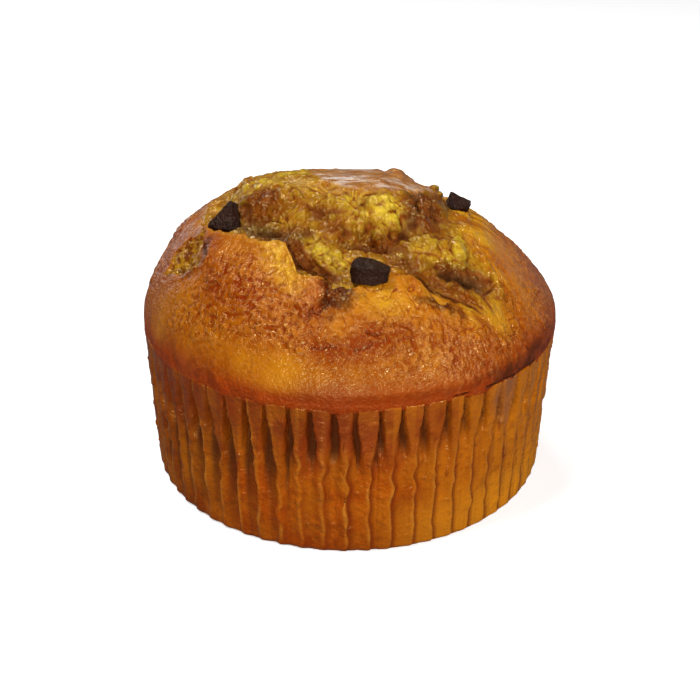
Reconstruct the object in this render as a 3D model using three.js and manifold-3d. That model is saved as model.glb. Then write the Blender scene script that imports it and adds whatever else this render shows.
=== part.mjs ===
// A muffin baked in a pleated paper case, with three chocolate chunks on its torn crown.
// Millimetres, +Z up. The origin is the centre of the case's flat base, and the front is -Y.
import * as THREE from "three";
import { ConvexGeometry } from "three/addons/geometries/ConvexGeometry.js";
import { mergeVertices } from "three/addons/utils/BufferGeometryUtils.js";
import Module from "manifold-3d";

// ---- Driving dimensions -------------------------------------------------------------------

const RIM_RADIUS = 38; // over the pleats at the case's top edge
const CASE_HEIGHT = 28.3;
const BASE_RADIUS = 37.3;
const PLEATS = 63;
const PAPER = 0.4; // wall of the case
const GAP = 0.3; // between pieces that touch

const SHOULDER_Z = 29.1; // where the dome is widest
const CROWN_Z = 54.5; // top of the crown that rose out of the torn crust
const TORN_CENTRE = [-1, 3]; // the two outlines of the torn crown are measured from here
const CRUST_WALL = 1.1; // how wide the torn crust's edge is in plan
const LUMP = 2.9; // size of the torn crumb's lumps
const LUMP_HEIGHT = 0.75;
const SWELL = 11; // size of the slow swells all over the dome
const SWELL_HEIGHT = 0.35;

const RINGS = 37; // rings of the dome from its top to its widest ring
const SECTORS = 5.2; // points that each ring has more than the one inside it

// ---- Small maths --------------------------------------------------------------------------

const clamp01 = (v) => Math.min(1, Math.max(0, v));
const mix = (a, b, t) => a + (b - a) * t;
const smooth = (a, b, v) => {
  const t = clamp01((v - a) / (b - a));
  return t * t * (3 - 2 * t);
};
const radians = (degrees) => (degrees * Math.PI) / 180;

// Straight interpolation in a short table of [position, value] rows.
function along(table, v) {
  const k = table.findIndex(([at]) => at >= v);
  if (k === 0) return table[0][1];
  if (k < 0) return table[table.length - 1][1];
  const [a, va] = table[k - 1];
  const [b, vb] = table[k];
  return mix(va, vb, (v - a) / (b - a));
}

// The same in a table that goes round a circle, from 0 to 360 degrees.
function roundTable(table, degrees) {
  const first = table[0];
  const last = table[table.length - 1];
  return along([[last[0] - 360, last[1]], ...table, [first[0] + 360, first[1]]], degrees);
}

// Smooth random bumps between -1 and 1: lattice values mixed over each cell of a unit cube.
const lattice = (i, j, k) => {
  const v = Math.sin(i * 127.1 + j * 311.7 + k * 74.7) * 43758.5453;
  return 2 * (v - Math.floor(v)) - 1;
};
function bumps(x, y, z) {
  const [i, j, k] = [x, y, z].map(Math.floor);
  const [u, v, w] = [x - i, y - j, z - k].map((t) => t * t * (3 - 2 * t));
  const row = (b, c) => mix(lattice(i, j + b, k + c), lattice(i + 1, j + b, k + c), u);
  return mix(mix(row(0, 0), row(1, 0), v), mix(row(0, 1), row(1, 1), v), w);
}

// Distance from a point to a chain of points, and how far along the chain (0 to 1) it is nearest.
function nearChain(chain, x, y) {
  let best = { distance: Infinity, share: 0, side: 1 };
  for (let n = 0; n + 1 < chain.length; n++) {
    const [ax, ay] = chain[n];
    const [dx, dy] = [chain[n + 1][0] - ax, chain[n + 1][1] - ay];
    const t = clamp01(((x - ax) * dx + (y - ay) * dy) / (dx * dx + dy * dy));
    const distance = Math.hypot(x - ax - t * dx, y - ay - t * dy);
    if (distance < best.distance) {
      const side = Math.sign(dx * (y - ay) - dy * (x - ax)) || 1;
      best = { distance, share: (n + t) / (chain.length - 1), side };
    }
  }
  return best;
}

// ---- The smooth dome ----------------------------------------------------------------------

// Each side's outline is a superellipse: (r / reach) ^ across + (height / rise) ^ up = 1.
const LEFT_SIDE = { reach: 38.1, rise: 28.1, across: 1.917, up: 1.636 };
const RIGHT_SIDE = { reach: 39, rise: 26.6, across: 1.48, up: 1.4 };
const BACK_SAG = 0.1; // share of the rise that the back of the dome lacks

function sideAt(azimuth) {
  const share = smooth(-0.75, 0.75, Math.cos(azimuth));
  const mixed = {};
  for (const key of Object.keys(LEFT_SIDE)) mixed[key] = mix(LEFT_SIDE[key], RIGHT_SIDE[key], share);
  return mixed;
}

function smoothDome(x, y) {
  const side = sideAt(Math.atan2(y, x));
  const r = Math.min(1, Math.hypot(x, y) / side.reach);
  const rise = side.rise * (1 - BACK_SAG * smooth(2, 24, y));
  return SHOULDER_Z + rise * Math.pow(1 - Math.pow(r, side.across), 1 / side.up);
}

// ---- The torn crown -----------------------------------------------------------------------

// The raised crown's top edge, and the edge of the crust that tore open round it, as rows of
// [azimuth in degrees, distance from TORN_CENTRE].
const CROWN_EDGE = [
  [0, 18], [17, 17.2], [45, 14.1], [85, 12], [127, 13.2], [161, 15.3], [183, 17], [204, 17],
  [216, 14.3], [229, 10.6], [247, 7.6], [278, 7.3], [300, 9.9], [318, 12.7], [332, 14.8], [346, 16.5],
];
const CRUST_EDGE = [
  [2, 23.5], [22, 21.5], [47, 17.7], [86, 15.5], [124, 16.2], [158, 17], [183, 19.5], [201, 24.4],
  [214, 25.9], [227, 25], [238, 25.1], [248, 24.6], [254, 26.3], [258, 27.4], [264, 28.2],
  [267, 30.7], [272, 31], [279, 31.6], [287, 31.5], [294, 31.8], [300, 32.5], [307, 34.2],
  [313, 36.6], [321, 35.8], [325, 31.6], [332, 26.9], [347, 23],
];
// How far the torn floor lies under the smooth dome at the crust's edge, and how much deeper it
// gets with each millimetre inwards.
const FLOOR_DROP = [
  [0, 0.7], [40, 1.3], [160, 0.9], [190, 1.2], [215, 2.2], [246, 2.2], [262, 0.9], [335, 0.7],
];
const FLOOR_SINK = [
  [0, 0.1], [60, 0.25], [200, 0.33], [225, 0.4], [287, 0.38], [300, 0.14], [314, 0.06], [335, 0.08],
];
// The share of the way out from the crown to the crust at which the crown's torn face meets the floor.
const FACE_FOOT = [
  [0, 0.5], [60, 0.6], [200, 0.5], [225, 0.45], [250, 0.5], [290, 0.46], [305, 0.34], [325, 0.36],
];

const FACE_CURVE = 1.35; // over 1 the torn face bulges and meets the floor in a sharp foot
const CROWN_FRAY = 4; // the crown's crust is broken up over this width inside its edge
const CROWN_FLAT = [-5, 7.5]; // the crown's top is level between these two places across

// The crown's own top: flat in the middle, sinking to its left and more to its right.
function crownTop(x, y) {
  const left = Math.max(0, CROWN_FLAT[0] - x);
  const right = Math.max(0, x - CROWN_FLAT[1]);
  return CROWN_Z - 0.0105 * left ** 2 - 0.28 * right - 0.018 * right ** 2 - 0.024 * y ** 2;
}

// The height of the torn surface, and how torn it is there: 0 on whole crust to 1 on open crumb.
function tornSurface(x, y) {
  const [dx, dy] = [x - TORN_CENTRE[0], y - TORN_CENTRE[1]];
  const azimuth = Math.atan2(dy, dx);
  const degrees = ((azimuth * 180) / Math.PI + 360) % 360;
  const radius = Math.hypot(dx, dy);
  const crown = roundTable(CROWN_EDGE, degrees);
  const crust = roundTable(CRUST_EDGE, degrees);
  const dome = smoothDome(x, y);
  if (radius >= crust) return { z: dome, torn: 0 };
  if (radius <= crown) {
    return { z: Math.min(dome, crownTop(x, y)), torn: smooth(crown - CROWN_FRAY, crown, radius) };
  }
  const at = (r) => [TORN_CENTRE[0] + r * Math.cos(azimuth), TORN_CENTRE[1] + r * Math.sin(azimuth)];
  const crownZ = Math.min(smoothDome(...at(crown)), crownTop(...at(crown)));
  const inside = crust - radius;
  const floor = dome - roundTable(FLOOR_DROP, degrees) - roundTable(FLOOR_SINK, degrees) * inside;
  const down = clamp01((radius - crown) / (crust - crown) / roundTable(FACE_FOOT, degrees));
  const face = mix(crownZ, Math.min(floor, crownZ), Math.pow(down, FACE_CURVE));
  const wall = smooth(0, CRUST_WALL, inside);
  return { z: mix(dome, Math.min(face, dome), wall), torn: smooth(0, 2 * CRUST_WALL, inside) };
}

// ---- Pits, cracks and folds in the crust --------------------------------------------------

// Mounds and hollows: centre, half-lengths along and across, the turn of the long side in
// degrees, and the height, which is negative for a hollow.
const MOUNDS = [
  { at: [-11.8, -7.6], long: 5.4, wide: 3, turn: 0, high: 1.1 },
  { at: [-8.2, -10.2], long: 2.6, wide: 1.8, turn: 10, high: 0.6 },
  { at: [5.6, -9.4], long: 4.4, wide: 3.2, turn: -5, high: 1.2 },
  { at: [14.4, -5], long: 2.6, wide: 2.8, turn: 0, high: 0.9 },
  { at: [11.6, -5.6], long: 1, wide: 2, turn: 0, high: -0.9 },
  { at: [12.6, -13.6], long: 3.8, wide: 1.9, turn: 5, high: 0.8 },
  { at: [18.7, -13.9], long: 3.2, wide: 1.3, turn: 106, high: 0.9 },
  { at: [-3, -18.2], long: 4, wide: 2.4, turn: -35, high: 0.5 },
  { at: [18.8, -19.6], long: 5.8, wide: 2.7, turn: 16, high: -2.9 },
  { at: [25, -16.9], long: 2.6, wide: 1.5, turn: 100, high: 0.7 },
  { at: [-27.8, -12.4], long: 4.4, wide: 2.8, turn: 112, high: -1.5 },
  { at: [6, 24], long: 5, wide: 2.4, turn: 20, high: -1.6 },
];
// Cracks: the line in plan, its half-width and its depth.
const CRACKS = [
  { line: [[-10.3, -19.6], [-8, -22.2], [-4.4, -24.8], [-3, -27.5], [-4.2, -29.6]], half: 0.9, deep: 1.5 },
  { line: [[14.5, -23.5], [20.5, -23.4], [24.6, -24.4]], half: 0.8, deep: 1.1 },
  { line: [[14, 13], [19, 19], [22.5, 25]], half: 1, deep: 1.3 },
  { line: [[-14, 12.5], [-19.5, 17], [-22, 22.5]], half: 0.9, deep: 1.1 },
];
// Folds: the left lobe of crust stands proud of these lines, on the right as each line runs.
const FOLDS = [
  { line: [[-2.7, -27], [-4.3, -29.7], [-6.6, -31.5], [-8.3, -32.5]], proud: 1.1, reach: 6 },
  { line: [[-25, -20], [-23.4, -17], [-24.6, -13.5], [-24.9, -10], [-23.5, -8.5]], proud: 1, reach: 5 },
];

function creases(x, y) {
  let rise = 0;
  for (const { at, long, wide, turn, high } of MOUNDS) {
    const [c, s] = [Math.cos(radians(turn)), Math.sin(radians(turn))];
    const [dx, dy] = [x - at[0], y - at[1]];
    rise += high * smooth(1, 0.25, Math.hypot((dx * c + dy * s) / long, (dy * c - dx * s) / wide));
  }
  for (const { line, half, deep } of CRACKS) {
    const { distance, share } = nearChain(line, x, y);
    rise -= deep * smooth(half, 0, distance) * smooth(1, 0.75, share);
  }
  for (const { line, proud, reach } of FOLDS) {
    const { distance, share, side } = nearChain(line, x, y);
    if (side < 0) rise += proud * smooth(reach, 0, distance) * smooth(0, 0.2, share) * smooth(1, 0.7, share);
  }
  return rise;
}

// The whole top of the cake: the torn surface with its lumps, creases and slow swells.
function cakeTop(x, y) {
  const { z, torn } = tornSurface(x, y);
  const swell = SWELL_HEIGHT * bumps(x / SWELL + 5, y / SWELL, 1.5);
  const lumps = torn * LUMP_HEIGHT * bumps(x / LUMP, y / LUMP + 9, z / LUMP);
  const inward = smooth(RIM_RADIUS, RIM_RADIUS - 5, Math.hypot(x, y));
  return z + inward * (swell + lumps + creases(x, y));
}

// ---- The cake -----------------------------------------------------------------------------

const CORE_RADIUS = 35.2; // inside the pleats
const LIP_INSET = 0.4; // the crust's underside is this much narrower than its widest ring
const FLOOR_Z = PAPER + GAP;
const LIP_Z = CASE_HEIGHT + GAP; // the crust's underside, over the case's edge

// A closed body from rings of points, with a point at each end. The rings may differ in count.
function bodyFromRings(bottom, rings, top) {
  const loops = [[bottom], ...rings, [top]];
  const index = [];
  let start = 0;
  for (let k = 0; k + 1 < loops.length; k++) {
    const [lower, upper] = [loops[k].length, loops[k + 1].length];
    const [low, high] = [(n) => start + (n % lower), (n) => start + lower + (n % upper)];
    let [i, j] = [0, 0];
    while (i < (lower > 1 ? lower : 0) || j < (upper > 1 ? upper : 0)) {
      const stepLower = upper === 1 || (lower > 1 && (i + 1) * upper <= (j + 1) * lower);
      if (stepLower) index.push(low(i), low(++i), high(j));
      else index.push(low(i), high(j + 1), high(j++));
    }
    start += lower;
  }
  const geometry = new THREE.BufferGeometry();
  geometry.setAttribute("position", new THREE.Float32BufferAttribute(loops.flat(2), 3));
  geometry.setIndex(index);
  return geometry;
}

function ring(count, radiusAt, zAt) {
  return Array.from({ length: count }, (_, n) => {
    const azimuth = (2 * Math.PI * n) / count;
    const r = radiusAt(azimuth);
    const [x, y] = [r * Math.cos(azimuth), r * Math.sin(azimuth)];
    return [x, y, zAt(x, y)];
  });
}

function cakeGeometry() {
  const count = (k) => Math.round(SECTORS * k);
  const rings = [
    ring(count(RINGS) / 2, () => CORE_RADIUS, () => FLOOR_Z),
    ring(count(RINGS), () => CORE_RADIUS, () => LIP_Z),
    ring(count(RINGS), (a) => sideAt(a).reach - LIP_INSET, () => LIP_Z),
    ring(count(RINGS), (a) => sideAt(a).reach, () => SHOULDER_Z),
  ];
  for (let k = RINGS - 1; k > 0; k--) {
    // Even steps in radius near the middle, and even steps in height near the shoulder.
    const share = mix(k / RINGS, Math.sin((0.5 * Math.PI * k) / RINGS), 0.5) * 0.999;
    rings.push(ring(count(k), (a) => sideAt(a).reach * share, cakeTop));
  }
  return bodyFromRings([0, 0, FLOOR_Z], rings, [0, 0, cakeTop(0, 0)]);
}

// ---- The paper case -----------------------------------------------------------------------

// Up the wall, as a share of its height: the flat ridge and the flat groove of each pleat, as
// shares of the pitch to each side of their middles, and how deep the groove is.
const RIDGE = [[0, 0.06], [0.45, 0.08], [0.65, 0.15], [1, 0.34]];
const GROOVE = [[0, 0.38], [0.45, 0.34], [0.65, 0.24], [1, 0.09]];
const DEPTH = [[0, 0.25], [0.3, 0.45], [0.65, 1.1], [0.85, 1.8], [1, 2]];
const OUTSIDE_STEPS = [0.02, 0.42, 0.64, 0.82, 1];
const INSIDE_STEPS = [0.02, 0.64, 1];
const CORNER = 0.5; // width of the bevel where the wall turns under

const FRONT_PLEAT = 0.14; // the ridge nearest the front is this share of the pitch to the left

// One ring of the wall: four points a pleat, at a share of the height, offset inwards.
function pleatRing(share, offset, z) {
  const pitch = (2 * Math.PI) / PLEATS;
  const outer = mix(BASE_RADIUS, RIM_RADIUS, share);
  const depth = along(DEPTH, share);
  const lateral = (offset / outer / pitch) * smooth(0.3, 1.4, depth);
  const ridge = Math.max(0.02, along(RIDGE, share) - lateral);
  const groove = along(GROOVE, share) + lateral;
  const points = [];
  for (let n = 0; n < PLEATS; n++) {
    const middle = -Math.PI / 2 + (n - FRONT_PLEAT) * pitch;
    for (const [at, drop] of [[-ridge, 0], [ridge, 0], [0.5 - groove, depth], [0.5 + groove, depth]]) {
      const [azimuth, r] = [middle + at * pitch, outer - drop - offset];
      points.push([r * Math.cos(azimuth), r * Math.sin(azimuth), z]);
    }
  }
  return points;
}

function caseGeometry() {
  const outside = OUTSIDE_STEPS.map((share) => pleatRing(share, 0, share * CASE_HEIGHT));
  const insideZ = (share) => Math.max(share * CASE_HEIGHT, 2 * PAPER);
  const inside = INSIDE_STEPS.map((share) => pleatRing(share, PAPER, insideZ(share)));
  const [under, floor] = [pleatRing(0, CORNER, 0), pleatRing(0, CORNER + PAPER, PAPER)];
  const rings = [under, ...outside, ...inside.reverse(), floor];
  return bodyFromRings([0, 0, 0], rings, [0, 0, PAPER]);
}

// ---- The chocolate chunks -----------------------------------------------------------------

// Each chunk is the hull of its broken corners, measured from the middle of its underside.
const CHUNKS = [
  {
    name: "chocolate_chunk_left",
    at: [-21.4, -9.2, 47],
    corners: [
      [0.8, 2.1, 5.3], [1.4, 1.9, 5.3], [-1.2, 1.2, 3.4], [-2.8, 0.4, 1.8], [-3.1, -0.2, 1.1],
      [-0.6, -1.3, 1.1], [1.4, -2.2, 0.9], [2.4, 2.6, 4.6], [3, -0.6, 0.6], [1.8, 3.8, 3.7],
      [-1.9, 2, 0], [2.2, 1.6, 0],
    ],
  },
  {
    name: "chocolate_chunk_right",
    at: [20, 0.2, 47.2],
    corners: [
      [-1.3, 2.4, 3.3], [0.6, 2.2, 2.6], [2.5, 1.9, 1.8], [2.3, 1, 1.2], [1, 0.3, 0.9], [-0.5, -0.5, 0.8],
      [-2.2, -0.6, 1.5], [-2.6, 0.1, 2.1], [-2, 0.4, 0], [1.8, 0.9, 0], [2, 3, 0.2], [-1.6, 3.2, 1],
    ],
  },
  {
    name: "chocolate_chunk_front",
    at: [3.6, -25.4, 45.3],
    corners: [
      [-2.9, -1.6, 0], [-1.4, -2.3, 0], [0.8, -2.2, 0], [2.6, -1.6, 0.2], [2.8, 1.2, 0.2], [-2.6, 1.8, 0],
      [-2.3, -1.9, 2.9], [0.7, -1.9, 2.7], [2.9, -1.5, 2.2], [-2.4, 1.2, 3.6], [-0.9, 1.7, 3.4],
      [0.8, 1.6, 2.9], [3.3, 0.6, 2.1], [-3.4, 0, 2.6], [-3.4, -0.9, 0.8],
    ],
  },
];

// The chunk's hull in place, grown by a margin on every side.
function chunkGeometry({ at, corners }, margin = 0) {
  const points = corners.map((corner) => new THREE.Vector3(...corner));
  const middle = points.reduce((sum, p) => sum.add(p), new THREE.Vector3()).divideScalar(points.length);
  const box = new THREE.Box3().setFromPoints(points).getSize(new THREE.Vector3());
  const grow = box.clone().addScalar(2 * margin).divide(box);
  const placed = points.map((p) => p.sub(middle).multiply(grow).add(middle).add(new THREE.Vector3(...at)));
  return new ConvexGeometry(placed);
}

// ---- Solids and materials -----------------------------------------------------------------

const wasm = await Module();
wasm.setup();

function solid(geometry) {
  const bare = geometry.clone();
  bare.deleteAttribute("normal");
  bare.deleteAttribute("uv");
  const merged = mergeVertices(bare, 1e-4);
  const mesh = new wasm.Mesh({
    numProp: 3,
    vertProperties: new Float32Array(merged.attributes.position.array),
    triVerts: new Uint32Array(merged.index.array),
  });
  return new wasm.Manifold(mesh);
}

function geometryOf(manifold) {
  const { vertProperties, triVerts } = manifold.getMesh();
  const geometry = new THREE.BufferGeometry();
  geometry.setAttribute("position", new THREE.BufferAttribute(vertProperties, 3));
  geometry.setIndex(new THREE.BufferAttribute(triVerts, 1));
  geometry.computeVertexNormals();
  return geometry;
}

const crust = new THREE.MeshStandardMaterial({ color: 0xb8651a, roughness: 0.45, metalness: 0 });
const paper = new THREE.MeshStandardMaterial({ color: 0xa65a18, roughness: 0.4, metalness: 0 });
const chocolate = new THREE.MeshStandardMaterial({ color: 0x2a1713, roughness: 0.5, metalness: 0 });

const muffin = new THREE.Group();

function add(name, geometry, material) {
  const mesh = new THREE.Mesh(geometry, material);
  mesh.name = name;
  muffin.add(mesh);
}

// The cake, with a seat cut in it for each chunk.
let cake = solid(cakeGeometry());
for (const chunk of CHUNKS) cake = cake.subtract(solid(chunkGeometry(chunk, GAP)));
add("cake", geometryOf(cake), crust);
add("paper_case", caseGeometry(), paper);
for (const chunk of CHUNKS) add(chunk.name, chunkGeometry(chunk), chocolate);

export default muffin;
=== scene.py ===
import math

import bpy
import numpy as np
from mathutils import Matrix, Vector


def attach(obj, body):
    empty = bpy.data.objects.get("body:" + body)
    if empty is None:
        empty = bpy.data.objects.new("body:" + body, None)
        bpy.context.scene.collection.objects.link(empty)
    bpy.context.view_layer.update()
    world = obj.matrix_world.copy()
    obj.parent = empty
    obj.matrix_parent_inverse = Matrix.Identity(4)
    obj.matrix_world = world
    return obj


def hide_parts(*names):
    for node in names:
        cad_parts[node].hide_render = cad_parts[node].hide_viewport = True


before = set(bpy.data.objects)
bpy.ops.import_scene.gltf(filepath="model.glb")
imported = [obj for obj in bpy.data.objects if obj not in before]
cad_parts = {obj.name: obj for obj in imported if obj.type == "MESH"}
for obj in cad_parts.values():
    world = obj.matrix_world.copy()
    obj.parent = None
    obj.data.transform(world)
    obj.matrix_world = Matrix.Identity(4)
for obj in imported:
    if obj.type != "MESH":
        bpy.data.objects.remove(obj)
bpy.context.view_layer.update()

# ---------------------------------------------------------------------------------------------
# Camera: a 54 mm lens about 20 cm from the muffin, straight in front of it and looking down on
# it by a little more than a quarter of a right angle.
# ---------------------------------------------------------------------------------------------

MM = 0.001
LOOK_AT = Vector((0.284, 0, 19.43)) * MM
LOOK_DOWN = math.radians(27.544)
STAND_OFF = 201.4 * MM
LENS = 53.69
FILM_WIDTH = 36
NEAREST = 0.01

lens = bpy.data.cameras.new("camera")
lens.lens = LENS
lens.sensor_width = FILM_WIDTH
lens.clip_start = NEAREST
camera = bpy.data.objects.new("camera", lens)
bpy.context.collection.objects.link(camera)
camera.location = LOOK_AT + STAND_OFF * Vector((0, -math.cos(LOOK_DOWN), math.sin(LOOK_DOWN)))
camera.rotation_euler = (math.pi / 2 - LOOK_DOWN, 0, 0)
bpy.context.scene.camera = camera

# ---------------------------------------------------------------------------------------------
# Crust: the outside of the batter set first, glossy with butter and orange-brown, and the rest
# rose and tore it open round a raised crown. The crust bakes onto the paper's rim.
# ---------------------------------------------------------------------------------------------

RIM_RADIUS = 38
RIM_LEAN = 0.5
CASE_HEIGHT = 28.3
SHOULDER_Z = 29.1
CRUST_AROUND = 760
CRUST_ROWS = 118
CLOSER_IN_FRONT = 0.3
RIM_GUESS = 38.5
# The hidden core inside the paper: its radius, its foot, its top, and its peak under the crumb.
CORE_RADIUS = 35.2
CORE_FOOT = 0.7
CORE_TOP = 27.6
CORE_PEAK = 32
# The lip under the rim: inset, height, and share of the droop.
LIP = [(1.2, 27.7, 0), (0.3, 27.8, 0.6), (0.04, 28.35, 0.8)]
# How far the lip wanders over the paper and how far it droops: height, size and seed.
LAP = [(0.22, 2.6, 7), (0.12, 1.1, 8)]
LAP_MEAN = 0.04
DROOP = [(0.45, 2.4, 9)]
DRIPS = [(1, 0.9, 10)]
# The edge turned down inside the tear: inset, drop.
FRINGE = [(-0.08, 0.35), (0.1, 0.9), (0.9, 1.6)]
CURL, CURL_REACH = 0.3, 2.2
DIVE, DIVE_REACH = 0.25, 1.8

# The crust's relief: height, size and seed of each layer of bumps or ridges.
SWELLS = [(0.16, 2.8, 1)]
CREASE_RIDGES = [(0.09, 1.7, 2), (-0.07, 1.25, 3)]
BLISTER_RIDGES = [(0.3, 1.2, 4), (0.2, 0.85, 5)]
BLISTER_MEAN = 0.15
SPLIT_FRAY = [(0.3, 1.6, 29), (0.15, 0.7, 30)]
SPLIT_CRUMBS = [(0.8, 1.7, 12), (0.3, 0.8, 31)]
SPLIT_DEPTH = 0.75
CRACKLE_FRAY = [(1, 2.4, 33), (0.35, 0.9, 34)]
CRACKLE_DEPTH = 0.22
TEAR_SWELLS = [(0.35, 1.8, 35)]
STRING_HEIGHT = 0.2
STRINGS_ROUND, STRING_LENGTH = 19, 7
# Wrinkles that run up the side, and the fine strokes between them.
WRINKLE_HEIGHT, WRINKLE_WIDTH, WRINKLE_LENGTH = 0.4, 0.95, 4.5
WRINKLE_SPREAD = 1.6
STROKE_HEIGHT, STROKE_WIDTH, STROKE_LENGTH = 0.08, 0.42, 1.3
SIDE_RADIUS = 36

# The dome's reach, its rise over the shoulder, and the exponents across and up, on each side.
LEFT_SIDE = np.array([38.1, 28.1, 1.917, 1.636])
RIGHT_SIDE = np.array([39, 26.6, 1.48, 1.4])
BACK_SAG = 0.1

# The tear's edge: radius by azimuth, round the tear's centre.
TORN_CENTRE = np.array([-1, 3])
CRUST_EDGE = [
    (2, 23.5), (22, 21.5), (47, 17.7), (86, 15.5), (124, 17.5), (158, 21), (183, 25), (201, 26.4),
    (213, 27.2), (218, 25.8), (228, 25.3), (239, 25.9), (244, 25), (249, 25.4), (253, 27.6),
    (256, 29.5), (264, 29.4), (267, 30.8), (272, 30.6), (277, 29), (286, 28.3), (293, 28.6),
    (296, 30.8), (303, 33.3), (308, 35.2), (313, 36), (318, 35.6), (323, 34.6), (326, 31.6),
    (332, 26.9), (347, 23.6),
]
# Mounds and hollows: x, y, half-length, half-width, turn in degrees, height.
MOUNDS = [
    (-11.8, -7.6, 5.4, 3, 0, 1.1), (-8.2, -10.2, 2.6, 1.8, 10, 0.6), (5.6, -9.4, 4.4, 3.2, -5, 1.2),
    (14.4, -5, 2.6, 2.8, 0, 0.9), (11.6, -5.6, 1, 2, 0, -0.9), (12.6, -13.6, 3.8, 1.9, 5, 0.8),
    (18.7, -13.9, 3.2, 1.3, 106, 0.9), (-3, -18.2, 4, 2.4, -35, 0.5), (18.6, -18.2, 4.4, 2, 14, -1.3),
    (25, -16.9, 2.6, 1.5, 100, 0.7), (8.9, 4.6, 2.5, 3.5, 0, 1.2), (-30, 1, 3, 4.5, 20, 0.8),
    (-27.8, -12.4, 4.4, 2.8, 112, -1.5), (6, 24, 5, 2.4, 20, -1.6),
]
# Cracks: the line in plan, half-width, depth.
CRACKS = [
    ([(-10.3, -19.6), (-8, -22.2), (-4.4, -24.8), (-3.2, -27)], 0.8, 1),
    ([(14.5, -23.5), (20.5, -23.4), (24.6, -24.4)], 0.6, 0.7),
    ([(14, 13), (19, 19), (22.5, 25)], 1, 1.3),
    ([(-14, 12.5), (-19.5, 17), (-22, 22.5)], 0.9, 1.1),
    ([(-7.4, -23.6), (-7.5, -25.4)], 0.4, 0.3),
    ([(-2.9, -23.9), (-1.3, -24.4), (0.1, -26.1)], 0.4, 0.4),
    ([(-2.8, -25.3), (-2.9, -27.3), (-3.5, -29.3), (-5.2, -30.6), (-7.5, -32.1)], 0.4, 0.75),
    ([(2.8, -32.5), (4, -32.6), (5.6, -32.1)], 0.5, 0.5),
    ([(3.7, -33.6), (2.5, -34), (1.5, -34.6), (0.3, -34.9)], 0.5, 0.45),
    ([(8.2, -30.9), (9.9, -30.6), (10.2, -31.6), (9.7, -32.8)], 0.4, 0.4),
    ([(-5.8, -34.2), (-4.4, -34.4), (-2.5, -34.2), (-1, -34.7)], 0.55, 0.45),
    ([(11.6, -22.1), (12.8, -23), (14.1, -24.5), (15.3, -25.9)], 0.9, 0.8),
    ([(21.5, -18.6), (23.1, -21.1), (24.6, -23)], 0.5, 0.5),
    ([(6.9, -28.8), (6, -30), (7.2, -30.5)], 0.3, 0.25),
    ([(-1.5, -28.5), (0.2, -27), (1.2, -25.2)], 0.3, 0.25),
    ([(-0.4, -29.5), (1, -28), (1.8, -26.5)], 0.25, 0.2),
]
# Folds: the crust on the right of the line stands proud of it: line, height, reach.
FOLDS = [
    ([(-2.7, -27), (-4.3, -29.7), (-6.6, -31.5), (-8.3, -32.5)], 1.1, 6),
    ([(-25, -20), (-23.4, -17), (-24.6, -13.5), (-24.9, -10), (-23.5, -8.5)], 1, 5),
]
# How far the crust's gold runs on into the crumb, from 0 to 1, by azimuth.
MELTED = [
    (0, 1), (60, 0.7), (120, 0.3), (200, 0.2), (215, 0), (286, 0), (298, 0.45), (318, 0.6), (332, 0.7),
    (345, 1),
]
# How far the edge stands up from the crumb, by azimuth: 0 where the crust runs on into it.
EDGE_PROUD = [
    (0, 0), (60, 0.1), (90, 0.5), (130, 0.4), (160, 0.1), (198, 0.1), (211, 0.8), (225, 1), (262, 1),
    (270, 0.6), (290, 0.35), (300, 0.12), (318, 0),
]
# Patches of the crust, each a soft ball: x, y, z, radius, strength. Browned dark by the heat, with
# painted shade on the crust beside the fold of the left lobe:
BROWNED_AND_SHADED = [
    (-5.2, -31, 42, 0.4, 0.6), (-6.3, -31.6, 41.2, 0.4, 0.5), (-2.5, -27.7, 44.3, 1.1, 1),
    (-1.4, -29.3, 43.5, 1.35, 0.85), (-1.6, -30.8, 42.2, 0.9, 0.4), (-2.8, -31.6, 41.4, 0.8, 0.4),
    (-3.5, -29.2, 43.6, 0.75, 0.8), (-4, -30.4, 42.8, 0.65, 0.9), (-4.1, -27.5, 45.5, 0.9, 0.75),
    (-3, -27, 44.2, 1.45, 1), (2.3, -27.8, 44.1, 1.25, 0.35), (4.8, -26.5, 43.7, 1, 0.3),
    (14.6, -25.7, 41.9, 1.45, 1), (18.4, -26.3, 39.2, 0.5, 0.6), (-10.2, -21.7, 49, 1, 0.35),
    (15.6, -25.7, 41.4, 1.25, 0.85), (21.4, -22.1, 39.3, 1.6, 1), (-3, -29.4, 43.6, 0.8, 1),
    (-0.6, -28, 44.7, 1.35, 0.9), (0.5, -29.1, 43.5, 1.3, 0.5), (11.6, -26.2, 42.5, 1, 0.6),
    (16.8, -26.1, 40.2, 0.65, 0.8), (18.9, -25.1, 39.8, 1.3, 0.55), (22.8, -23.2, 37.5, 1.5, 0.4),
    (-25.3, -16.7, 44.4, 0.8, 0.55), (-26.6, -16.9, 43, 0.8, 0.6), (-27.8, -16.4, 42.2, 0.8, 0.6),
    (-29, -0, 45.5, 1.6, 0.4), (-32, -3, 42, 1.6, 0.35), (-34, -7, 38.5, 1.6, 0.35),
    (28.7, -23.2, 33.4, 2, 0.4), (31.6, -19.6, 33.6, 1.6, 0.3), (-31, -21.4, 31.6, 2, 0.4),
    (-24, -14, 47.6, 0.95, 0.95), (-24.3, -15.3, 46.2, 1, 1), (-24.3, -16.5, 45, 0.8, 0.7),
    (-29, 2.8, 45.3, 1.5, 0.4), (-26.7, 3.4, 47.2, 1.3, 0.3), (-23, -21.9, 42.9, 2.3, 0.35),
    (28.7, -9.8, 40.7, 1.4, 0.35), (30.2, -12.1, 38.5, 1.6, 0.4), (32, -14.3, 35.7, 1.6, 0.3),
    (-23.8, -14.8, 46.7, 1.05, 1), (12.8, -23.3, 42.2, 0.95, 1), (10, 36, 31, 5, 0.6),
    (-20, 31, 32, 5, 0.6), (33, 16, 32, 4, 0.5),
]
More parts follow.
